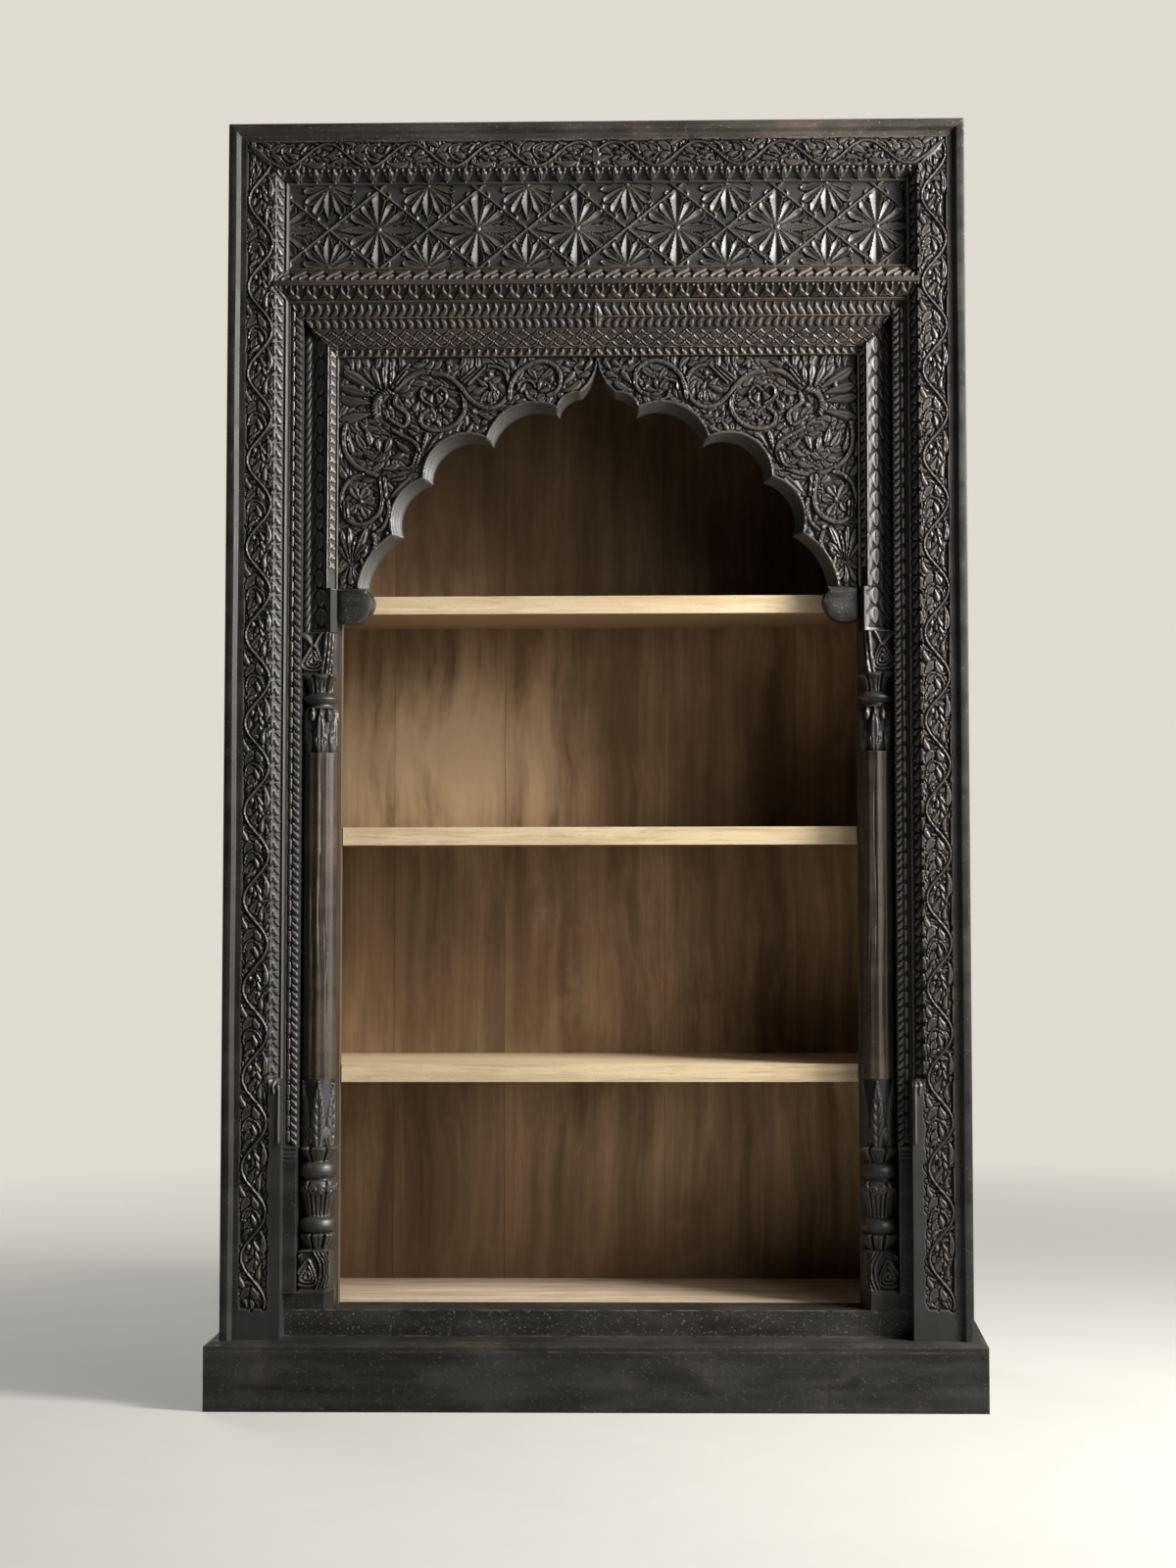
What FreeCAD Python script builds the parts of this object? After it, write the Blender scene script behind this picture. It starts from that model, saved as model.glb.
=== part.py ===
import FreeCAD, Part
import os
import re

import Sketcher

# Carved arched bookcase, millimetres. +Z is up, the front faces -Y, and the origin is at the middle
# of the base. Every piece on the right is drawn, and its left twin is its mirror image.

SIZES = {
    # whole piece
    "overall_height": 2130,
    "carcass_width": 1232,
    "carcass_depth": 400,
    # plinth
    "plinth_height": 111,
    "plinth_top_thickness": 14,
    "plinth_slope_width": 10,
    "plinth_slope_height": 6,
    "plinth_project_side": 22,
    "plinth_project_front": 20,
    "plinth_board": 28,
    "glue_block": 45,
    "glue_block_height": 80,
    # carcass
    "side_board": 22,
    "floor_board": 22,
    "bearer_width": 40,
    "bearer_inset": 30,
    "shelf_thickness": 30,
    "lower_bay": 368,
    "second_bay": 368.5,
    "shelf_drop": 10,
    "shelf_tongue": 10,
    "shelf_clearance": 2,
    "cleat_thickness": 22,
    "cleat_height": 30,
    "cleat_setback": 12,
    "plank_thickness": 16,
    "plank_lap": 12,
    "plank_gap": 0.5,
    "first_plank": 223,
    "second_plank": 198,
    "third_plank": 286,
    "fourth_plank": 236,
    "nail_diameter": 4,
    "nail_head_diameter": 10,
    "nail_head_thickness": 2,
    "nail_length": 42,
    "nail_clearance": 0.1,
    "liner_thickness": 20,
    # outer frame, from the edge of the carcass inwards
    "rim_width": 29,
    "rim_slope": 15,
    "rim_step": 8,
    "band_width": 46,
    "bevel_width": 22,
    "bevel_depth": 22,
    "bevel_stop": 530,
    "batten_width": 48,
    "batten_depth": 36,
    # frieze and the ridged rail under it
    "frieze_height": 142.5,
    "panel_lip": 6,
    "panel_thickness": 22,
    "panel_back_lip": 10,
    "panel_tongue": 8,
    "fit_clearance": 0.3,
    "ridge_bevel": 26,
    "ridge_flat": 6,
    "tenon_length": 36,
    "tenon_thickness": 14,
    "tenon_height": 30,
    "peg_diameter": 9,
    "peg_spacing": 16,
    # portal, from the outer frame inwards
    "bead_strip_width": 23,
    "bead_strip_step": 4,
    "rope_gap": 0.3,
    "rope_diameter": 12,
    "rope_flat": 1,
    "rope_depth": 36,
    "scale_face_width": 31,
    "braid_face_width": 15,
    "post_reveal": 2,
    "post_outer_depth": 38,
    "post_ridge_depth": 58,
    "post_inner_depth": 40,
    "post_tail": 14,
    "lintel_height": 88.5,
    "lintel_step": 2,
    "lintel_overhang": 2,
    "sill_height": 43,
    "sill_setback": 45,
    # columns
    "pad_height": 28,
    "foot_block_height": 237,
    "foot_block_setback": 2,
    "pad_chamfer_width": 13,
    "pad_chamfer_depth": 24,
    "column_let_in": 1,
    "block_inset": 0.5,
    "carved_block_height": 67,
    "flare_height": 27,
    "lower_ring_height": 27,
    "vase_height": 61,
    "upper_ring_height": 28,
    "base_neck_height": 2,
    "collar_height": 24,
    "collar_lip": 5,
    "sheath_height": 114,
    "sheath_taper": 1,
    "neck_inset": 8.5,
    "ring_swell": 5.5,
    "vase_swell": 8,
    "lotus_height": 75,
    "lotus_lip": 10,
    "capital_neck": 7,
    "capital_ring_height": 18,
    "capital_collar_height": 28,
    "capital_block_height": 74,
    # arch
    "spandrel_thickness": 28,
    "arch_bevel": 18,
    "arch_cover": 8.5,
    "arch_rise": 382.5,
    "tongue_length": 8,
    "tongue_thickness": 10,
    "pendant_height": 62,
    "pendant_width": 62,
    "pendant_proud": 4,
    "pendant_round": 24,
    "pendant_facet": 12,
}

# Places that follow from the sizes: x counts out from the middle, y from the middle of the depth.
PLACES = {
    "front": "plinth_project_front - (carcass_depth + plinth_project_front) / 2",
    "back": "front + carcass_depth",
    "plinth_face": "front - plinth_project_front",
    "half_width": "carcass_width / 2",
    "half_plinth": "half_width + plinth_project_side",
    "half_inside": "half_width - side_board",
    "plank_face": "back - plank_thickness",
    "plinth_board_top": "plinth_height - plinth_top_thickness",
    "floor_top": "plinth_height + sill_height",
    "floor_low": "floor_top - floor_board",
    "lower_shelf": "floor_top + lower_bay",
    "middle_shelf": "lower_shelf + shelf_thickness + second_bay",
    "upper_shelf": "springing - shelf_drop - shelf_thickness",
    "rim_inner": "half_width - rim_width",
    "band_inner": "rim_inner - band_width",
    "stile_inner": "band_inner - bevel_width",
    "rim_low": "overall_height - rim_width",
    "band_low": "rim_low - band_width",
    "top_rail_low": "band_low - bevel_width",
    "frieze_low": "top_rail_low - frieze_height",
    "ridge_high": "frieze_low - ridge_bevel",
    "ridge_low": "ridge_high - ridge_flat",
    "rail_low": "ridge_low - ridge_bevel",
    "rail_middle": "(ridge_high + ridge_low) / 2",
    "lintel_low": "rail_low - lintel_height",
    "band_face": "front + rim_step",
    "bevel_back": "band_face + bevel_depth",
    "panel_face": "bevel_back + panel_lip",
    "panel_back": "panel_face + panel_thickness",
    "frame_back": "panel_back + panel_back_lip",
    "tenon_face": "panel_face + (panel_thickness - tenon_thickness) / 2",
    "liner_face": "frame_back + batten_depth",
    "liner_back": "liner_face + liner_thickness",
    "shelf_front": "liner_back - shelf_tongue",
    "sill_face": "front + sill_setback",
    "bead_face": "bevel_back + bead_strip_step",
    "bead_inner": "stile_inner - bead_strip_width",
    "rope_outer": "bead_inner - rope_gap",
    "post_outer": "rope_outer - rope_diameter + rope_flat",
    "post_ridge": "post_outer - scale_face_width",
    "post_inner": "post_ridge - braid_face_width",
    "half_opening": "post_inner - post_reveal",
    "rope_x": "rope_outer - rope_diameter / 2",
    "rope_y": "liner_face - rope_depth",
    "lintel_top_face": "bevel_back + lintel_step",
    "spandrel_face": "liner_face - post_inner_depth",
    "spandrel_back": "spandrel_face + spandrel_thickness",
    "lintel_low_face": "spandrel_face - lintel_overhang",
    "tongue_face": "spandrel_back - (spandrel_thickness - arch_bevel + tongue_thickness) / 2",
    "tongue_back": "tongue_face + tongue_thickness",
    "arch_apex": "lintel_low - arch_cover",
    "springing": "arch_apex - arch_rise",
    "pendant_low": "springing - pendant_height",
    "pendant_face": "spandrel_face - pendant_proud",
    "pendant_inner": "post_inner - pendant_width",
    "column_x": "(post_inner + rope_outer) / 2",
    "column_radius": "(rope_outer - post_inner) / 2",
    "neck_radius": "column_radius - neck_inset",
    "ring_radius": "column_radius - ring_swell",
    "column_y": "liner_face + column_let_in - column_radius",
    "pad_top": "floor_top + pad_height",
    "block_top": "pad_top + carved_block_height",
    "flare_top": "block_top + flare_height",
    "lower_ring_top": "flare_top + lower_ring_height",
    "vase_top": "lower_ring_top + vase_height",
    "upper_ring_top": "vase_top + upper_ring_height",
    "base_neck_top": "upper_ring_top + base_neck_height",
    "collar_top": "base_neck_top + collar_height",
    "base_top": "collar_top + sheath_height",
    "capital_top": "pendant_low - post_tail",
    "capital_block_low": "capital_top - capital_block_height",
    "capital_collar_low": "capital_block_low - capital_collar_height",
    "capital_ring_low": "capital_collar_low - capital_ring_height",
    "lotus_top": "capital_ring_low - capital_neck",
    "capital_low": "lotus_top - lotus_height",
    "foot_block_top": "pad_top + foot_block_height",
}

# The arch from its springing to its apex: how far out and how far up each point is, as shares of the
# half span and of the rise; the share of the bevel's width there; and the rise of the arc that follows,
# as a share of its chord. The arcs are hollow lobes between cusps, and the last one swells to the tip.
ARCH = (
    (0.883, 0.000, 1.0, 0.117),
    (0.750, 0.225, 1.0, 0.213),
    (0.638, 0.462, 1.0, 0.285),
    (0.404, 0.626, 1.0, 0.240),
    (0.149, 0.756, 0.9, 0.180),
    (0.067, 0.838, 0.6, -0.110),
    (0.000, 1.000, 0.3, 0.000),
)
QUARTER_ARC_RISE = 0.2929
SHAFT_SIDES = 12
PLANKS = ("first_plank", "second_plank", "third_plank", "fourth_plank")
SHELVES = ("lower_shelf", "middle_shelf", "upper_shelf")

doc = FreeCAD.newDocument("arched_bookcase")
nodes = []


def spelled(text):
    """A formula with each named size or place written as its sheet's cell."""
    def cell(match):
        word = match.group(0)
        if word in SIZES:
            return "Sizes." + word
        if word in PLACES:
            return "Places." + word
        return word
    return re.sub(r"[a-z][a-z_]*", cell, str(text))


def fill_sheet(name, cells):
    """One row for each name, with its value beside it under an alias."""
    sheet = doc.addObject("Spreadsheet::Sheet", name)
    for row, (alias, value) in enumerate(cells.items(), start=1):
        sheet.set(f"A{row}", alias)
        sheet.set(f"B{row}", value)
        sheet.setAlias(f"B{row}", alias)
    return sheet


def node(label, piece):
    """Name a finished piece."""
    piece.Label = label
    nodes.append(piece)
    return piece


def flipped(span):
    """The same stretch on the other side of the middle."""
    low, high = span
    return f"-({high})", f"-({low})"


def middle(half):
    """A stretch centred on the middle line."""
    return f"-({half})", half


def box(name, across, deep, high):
    """A plain board between two places on each axis."""
    board = doc.addObject("Part::Box", name)
    for size, axis, (low, top) in zip(("Length", "Width", "Height"), "xyz", (across, deep, high)):
        board.setExpression(size, spelled(f"({top}) - ({low})"))
        board.setExpression(f"Placement.Base.{axis}", spelled(low))
    return board


def rod(name, across, deep, high, diameter, length, along_depth=False):
    """A round rod from one end, upright or running back."""
    bar = doc.addObject("Part::Cylinder", name)
    bar.setExpression("Radius", spelled(f"({diameter}) / 2"))
    bar.setExpression("Height", spelled(length))
    if along_depth:
        bar.Placement.Rotation = FreeCAD.Rotation(FreeCAD.Vector(1, 0, 0), -90)
    for axis, place in zip("xyz", (across, deep, high)):
        bar.setExpression(f"Placement.Base.{axis}", spelled(place))
    return bar


def cut(name, base, *tools):
    """The base with each tool's shape taken out of it."""
    for step, tool in enumerate(tools):
        trimmed = doc.addObject("Part::Cut", f"{name}_cut_{step}")
        trimmed.Base = base
        trimmed.Tool = tool
        base = trimmed
    return base


def joined(kind, name, first, second):
    """Two shapes as one piece: fused, or what they have in common."""
    whole = doc.addObject(kind, name)
    whole.Base = first
    whole.Tool = second
    return whole


def group(name, pieces):
    """Separate solids kept together, such as one kind of fastener."""
    bunch = doc.addObject("Part::Compound", name)
    bunch.Links = pieces
    return bunch


def mirrored(label, source):
    """The left twin of a right piece."""
    twin = doc.addObject("Part::Mirroring", label)
    twin.Source = source
    twin.Normal = FreeCAD.Vector(1, 0, 0)
    return node(label, twin)


def pair(name, piece):
    """A right piece and its left twin."""
    node(name + "_right", piece)
    mirrored(name + "_left", piece)


def outline(body, role, corners, lift):
    """A closed outline on one of the body's planes. A corner with a third value starts an arc that
    rises that much to the left of its run."""
    sketch = body.newObject("Sketcher::SketchObject", f"{body.Name}_outline")
    plane = next(feature for feature in body.Origin.OriginFeatures if feature.Role == role)
    sketch.AttachmentSupport = [(plane, "")]
    sketch.MapMode = "FlatFace"
    sketch.setExpression("AttachmentOffset.Base.z", spelled(lift))
    points = []
    for corner in corners:
        across, up = (float(sketch.evalExpression(spelled(text))) for text in corner[:2])
        points.append(FreeCAD.Vector(across, up, 0))
    starts = []
    for index, corner in enumerate(corners):
        start = points[index]
        finish = points[(index + 1) % len(points)]
        first, last = 1, 2
        if len(corner) == 2:
            curve = Part.LineSegment(start, finish)
        else:
            rise = float(sketch.evalExpression(spelled(corner[2])))
            run = finish - start
            crown = (start + finish) * 0.5 + FreeCAD.Vector(-run.y, run.x, 0).normalize() * rise
            if rise > 0:
                first, last = 2, 1
                start, finish = finish, start
            curve = Part.Arc(start, crown, finish)
        starts.append((sketch.addGeometry(curve), first, last))
    for index, (edge, first, last) in enumerate(starts):
        following, following_first, _ = starts[(index + 1) % len(starts)]
        sketch.addConstraint(Sketcher.Constraint("Coincident", edge, last, following, following_first))
    for index, corner in enumerate(corners):
        edge, first, _ = starts[index]
        for kind, axis_line, text, value in (
            ("DistanceX", -2, corner[0], points[index].x),
            ("DistanceY", -1, corner[1], points[index].y),
        ):
            if text == "0":
                sketch.addConstraint(Sketcher.Constraint("PointOnObject", edge, first, axis_line))
                continue
            bind(sketch, Sketcher.Constraint(kind, -1, 1, edge, first, value), f"{kind}_{index}", text)
        if len(corner) == 3:
            far = corners[(index + 1) % len(corners)]
            chord = f"((({far[0]}) - ({corner[0]}))^2 + (({far[1]}) - ({corner[1]}))^2)"
            radius = f"abs({chord} / (8 * ({corner[2]})) + ({corner[2]}) / 2)"
            value = float(sketch.evalExpression(spelled(radius)))
            bind(sketch, Sketcher.Constraint("Radius", edge, value), f"Radius_{index}", radius)
    return sketch


def bind(sketch, constraint, name, text):
    """Add a measured constraint that follows a formula."""
    place = sketch.addConstraint(constraint)
    sketch.renameConstraint(place, name)
    sketch.setExpression(f"Constraints.{name}", spelled(text))


def prism(name, role, corners, span):
    """An outline drawn out along the axis that its plane faces."""
    low, high = span
    body = doc.addObject("PartDesign::Body", name)
    lift = f"-({high})" if role == "XZ_Plane" else low
    sketch = outline(body, role, corners, lift)
    pad = body.newObject("PartDesign::Pad", f"{name}_pad")
    pad.Profile = sketch
    pad.setExpression("Length", spelled(f"({high}) - ({low})"))
    return body


def turning(name, profile):
    """A turned piece on the column's axis from its half profile."""
    body = doc.addObject("PartDesign::Body", name)
    sketch = outline(body, "XZ_Plane", profile, "0")
    turned = body.newObject("PartDesign::Revolution", f"{name}_turned")
    turned.Profile = sketch
    turned.ReferenceAxis = (sketch, ["V_Axis"])
    turned.Angle = 360
    body.setExpression("Placement.Base.x", spelled("column_x"))
    body.setExpression("Placement.Base.y", spelled("column_y"))
    return body


def plinth():
    """Four boards, glue blocks in the corners and a top with sloped edges."""
    board_height = ("0", "plinth_board_top")
    node("plinth_front", box("plinth_front", middle("half_plinth"),
                             ("plinth_face", "plinth_face + plinth_board"), board_height))
    inside = ("plinth_face + plinth_board", "back")
    pair("plinth_side", box("plinth_side", ("half_plinth - plinth_board", "half_plinth"),
                            inside, board_height))
    node("plinth_back", box("plinth_back", middle("half_plinth - plinth_board"),
                            ("back - plinth_board", "back"), board_height))
    blocks = []
    block_across = ("half_plinth - plinth_board - glue_block", "half_plinth - plinth_board")
    block_front = ("plinth_face + plinth_board", "plinth_face + plinth_board + glue_block")
    block_back = ("back - plinth_board - glue_block", "back - plinth_board")
    block_height = ("plinth_board_top - glue_block_height", "plinth_board_top")
    for across in (block_across, flipped(block_across)):
        for deep in (block_front, block_back):
            blocks.append(box(f"glue_block_{len(blocks)}", across, deep, block_height))
    node("plinth_glue_blocks", group("plinth_glue_blocks", blocks))
    shoulder = "plinth_height - plinth_slope_height"
    from_front = prism("plinth_top_front", "XZ_Plane", [
        ("-half_plinth", "plinth_board_top"),
        ("half_plinth", "plinth_board_top"),
        ("half_plinth", shoulder),
        ("half_plinth - plinth_slope_width", "plinth_height"),
        ("plinth_slope_width - half_plinth", "plinth_height"),
        ("-half_plinth", shoulder),
    ], ("plinth_face", "back"))
    from_side = prism("plinth_top_side", "YZ_Plane", [
        ("plinth_face", "plinth_board_top"),
        ("back", "plinth_board_top"),
        ("back", "plinth_height"),
        ("plinth_face + plinth_slope_width", "plinth_height"),
        ("plinth_face", shoulder),
    ], middle("half_plinth"))
    node("plinth_top", joined("Part::Common", "plinth_top", from_front, from_side))


def plank_edges():
    """The two sides of each back plank, from the left."""
    left = "plank_gap - half_inside - plank_lap"
    spans = []
    for width in PLANKS:
        spans.append((left, f"{left} + {width}"))
        left = f"{left} + {width} + plank_gap"
    spans.append((left, "half_inside + plank_lap - plank_gap"))
    return spans


def back_nails(spans, levels):
    """Nails through each plank into the boards behind it, with the holes that they sit in."""
    nails, plank_holes, board_holes = [], [], {level: [] for level in levels}
    reach = "nail_length - nail_head_thickness"
    hole = "nail_diameter + 2 * nail_clearance"
    head_hole = "nail_head_diameter + 2 * nail_clearance"
    for number, (low, high) in enumerate(spans):
        holes = []
        for level in levels:
            for quarter in (1, 3):
                across = f"({low}) + (({high}) - ({low})) * {quarter} / 4"
                start = "back - nail_length"
                neck = "back - nail_head_thickness"
                shank = rod("shank", across, start, level, "nail_diameter", reach, True)
                head = rod("head", across, neck, level, "nail_head_diameter", "nail_head_thickness", True)
                nails.append(joined("Part::Fuse", f"nail_{number}", shank, head))
                tip = f"{start} - nail_clearance"
                bore = rod("bore", across, tip, level, hole, "nail_length + nail_clearance", True)
                sink = rod("sink", across, f"{neck} - nail_clearance", level, head_hole,
                           "nail_head_thickness + 2 * nail_clearance", True)
                holes += [bore, sink]
                board_holes[level].append(bore)
        plank_holes.append(holes)
    node("back_nails", group("back_nails", nails))
    return plank_holes, board_holes


def holes_group(name, holes):
    """Holes that are cut together."""
    whole = doc.addObject("Part::MultiFuse", name)
    whole.Shapes = holes
    return whole


def carcass():
    """Sides, top, floor, shelves on cleats, and a back of nailed planks."""
    rebate = box("side_rebate", ("half_inside", "half_inside + plank_lap"),
                 ("plank_face", "back"), ("plinth_height", "rim_low"))
    side = box("side_blank", ("half_inside", "half_width"), ("frame_back", "back"),
               ("plinth_height", "rim_low"))
    pair("side_panel", cut("side_panel", side, rebate))
    node("top_board", box("top_board", middle("half_width"), ("frame_back", "back"),
                          ("rim_low", "overall_height")))
    spans = plank_edges()
    floor_level = "floor_top - floor_board / 2"
    levels = [floor_level] + [f"{shelf} + shelf_thickness / 2" for shelf in SHELVES]
    plank_holes, board_holes = back_nails(spans, levels)
    for number, (span, holes) in enumerate(zip(spans, plank_holes), start=1):
        plank = box(f"plank_{number}", span, ("plank_face", "back"), ("plinth_height", "rim_low"))
        drilled = cut(f"back_plank_{number}", plank, holes_group(f"plank_holes_{number}", holes))
        node(f"back_plank_{number}", drilled)
    floor = box("floor_blank", middle("half_inside"), ("liner_back", "plank_face"),
                ("floor_low", "floor_top"))
    node("floor_board", cut("floor_board", floor, holes_group("floor_holes", board_holes[floor_level])))
    bearer_edge = "half_inside - bearer_inset"
    bearers = [box("bearer_middle", middle("bearer_width / 2"), ("liner_back", "plank_face"),
                   ("plinth_height", "floor_low"))]
    outer = (f"{bearer_edge} - bearer_width", bearer_edge)
    for across in (outer, flipped(outer)):
        bearers.append(box("bearer", across, ("liner_back", "plank_face"), ("plinth_height", "floor_low")))
    node("floor_bearers", group("floor_bearers", bearers))
    cleats = []
    cleat_across = ("half_inside - cleat_thickness", "half_inside")
    for shelf, level in zip(SHELVES, levels[1:]):
        inside = "half_inside - shelf_clearance / 4"
        tongue = "half_opening - shelf_clearance"
        shoulder = "liner_back + shelf_clearance / 4"
        board = prism(f"{shelf}_blank", "XY_Plane", [
            (f"-({tongue})", "shelf_front"),
            (tongue, "shelf_front"),
            (tongue, shoulder),
            (inside, shoulder),
            (inside, "plank_face"),
            (f"-({inside})", "plank_face"),
            (f"-({inside})", shoulder),
            (f"-({tongue})", shoulder),
        ], (shelf, f"{shelf} + shelf_thickness"))
        node(shelf, cut(shelf, board, holes_group(f"{shelf}_holes", board_holes[level])))
        for across in (cleat_across, flipped(cleat_across)):
            cleats.append(box("cleat", across, ("liner_back + cleat_setback", "plank_face"),
                              (f"{shelf} - cleat_height", shelf)))
    node("shelf_cleats", group("shelf_cleats", cleats))
    pair("liner", box("liner", ("half_opening", "half_inside"), ("liner_face", "liner_back"),
                      ("floor_top", "lintel_low")))
    node("header_board", box("header_board", middle("half_inside"), ("liner_face", "liner_back"),
                             ("lintel_low", "rim_low")))


def outer_frame():
    """Mitred rims, carved stiles and top rail, the ridged rail and the frieze panel in its groove."""
    frame_deep = ("front", "frame_back")
    band_deep = ("band_face", "frame_back")
    whole_height = ("plinth_height", "overall_height")
    rim = prism("rim_blank", "XZ_Plane", [
        ("rim_inner", "plinth_height"),
        ("half_width", "plinth_height"),
        ("half_width", "overall_height"),
        ("rim_inner", "rim_low"),
    ], frame_deep)
    rim_slope = prism("rim_slope_cut", "XY_Plane", [
        ("rim_inner", "front"),
        ("rim_inner + rim_slope", "front"),
        ("rim_inner", "band_face"),
    ], whole_height)
    pair("rim", cut("rim_side", rim, rim_slope))
    top_rim = prism("top_rim_blank", "XZ_Plane", [
        ("-rim_inner", "rim_low"),
        ("rim_inner", "rim_low"),
        ("half_width", "overall_height"),
        ("-half_width", "overall_height"),
    ], frame_deep)
    top_slope = prism("top_rim_slope_cut", "YZ_Plane", [
        ("front", "rim_low"),
        ("band_face", "rim_low"),
        ("front", "rim_low + rim_slope"),
    ], middle("half_width"))
    node("rim_top", cut("rim_top", top_rim, top_slope))

    groove = box("panel_groove", middle("stile_inner + panel_tongue + fit_clearance"),
                 ("panel_face - fit_clearance", "panel_back + fit_clearance"),
                 ("frieze_low - panel_tongue - fit_clearance", "top_rail_low + panel_tongue + fit_clearance"))
    node("frieze_panel", box("frieze_panel", middle("stile_inner + panel_tongue"),
                             ("panel_face", "panel_back"),
                             ("frieze_low - panel_tongue", "top_rail_low + panel_tongue")))

    tenon_high = ("rail_middle - tenon_height / 2", "rail_middle + tenon_height / 2")
    tenon = box("tenons", middle("stile_inner + tenon_length"),
                ("tenon_face", "tenon_face + tenon_thickness"), tenon_high)
    mortise = box("mortise", ("stile_inner", "stile_inner + tenon_length + fit_clearance"),
                  ("tenon_face - fit_clearance", "tenon_face + tenon_thickness + fit_clearance"),
                  (f"{tenon_high[0]} - fit_clearance", f"{tenon_high[1]} + fit_clearance"))
    pegs, peg_holes, left_holes = [], [], []
    for side in ("", "-"):
        for turn in ("-", "+"):
            across = f"{side}(stile_inner + tenon_length / 2 {turn} peg_spacing / 2)"
            start = "tenon_face - panel_lip"
            length = f"frame_back - ({start})"
            pegs.append(rod("peg", across, start, "rail_middle", "peg_diameter", length, True))
            hole = rod("peg_hole", across, f"{start} - fit_clearance", "rail_middle",
                       "peg_diameter + 2 * nail_clearance", f"{length} + fit_clearance", True)
            (left_holes if side else peg_holes).append(hole)
    node("rail_pegs", group("rail_pegs", pegs))

    stile = prism("stile_blank", "XZ_Plane", [
        ("stile_inner", "plinth_height"),
        ("rim_inner", "plinth_height"),
        ("rim_inner", "rim_low"),
        ("stile_inner", "top_rail_low"),
    ], band_deep)
    stile_bevel = prism("stile_bevel_cut", "XY_Plane", [
        ("stile_inner", "band_face"),
        ("band_inner", "band_face"),
        ("stile_inner", "bevel_back"),
    ], ("bevel_stop", "overall_height"))
    pair("stile", cut("stile_side", stile, stile_bevel, groove, mortise,
                      holes_group("stile_peg_holes", peg_holes)))
    top_rail = prism("top_rail_blank", "XZ_Plane", [
        ("-stile_inner", "top_rail_low"),
        ("stile_inner", "top_rail_low"),
        ("rim_inner", "rim_low"),
        ("-rim_inner", "rim_low"),
    ], band_deep)
    rail_bevel = prism("top_rail_bevel_cut", "YZ_Plane", [
        ("band_face", "top_rail_low"),
        ("bevel_back", "top_rail_low"),
        ("band_face", "band_low"),
    ], middle("half_width"))
    node("top_rail", cut("top_rail", top_rail, rail_bevel, groove))

    core = box("ridge_rail_core", middle("stile_inner"), ("bevel_back", "frame_back"),
               ("rail_low", "frieze_low"))
    ridge_up = prism("ridge_profile", "YZ_Plane", [
        ("band_face", "ridge_low"),
        ("bevel_back", "rail_low"),
        ("bevel_back", "frieze_low"),
        ("band_face", "ridge_high"),
    ], middle("half_width"))
    ridge_ends = prism("ridge_ends", "XY_Plane", [
        ("-band_inner", "band_face"),
        ("band_inner", "band_face"),
        ("stile_inner", "bevel_back"),
        ("-stile_inner", "bevel_back"),
    ], ("rail_low", "frieze_low"))
    ridge = joined("Part::Common", "ridge", ridge_up, ridge_ends)
    rail = joined("Part::Fuse", "ridge_rail_blank", core, ridge)
    rail = joined("Part::Fuse", "ridge_rail_tenoned", cut("ridge_rail", rail, groove), tenon)
    all_holes = holes_group("tenon_peg_holes", peg_holes + left_holes)
    node("ridge_rail", cut("ridge_rail_drilled", rail, all_holes))
    pair("stile_batten", box("stile_batten", ("half_inside - batten_width", "half_inside"),
                             ("frame_back", "liner_face"), ("plinth_height", "rim_low")))


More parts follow.
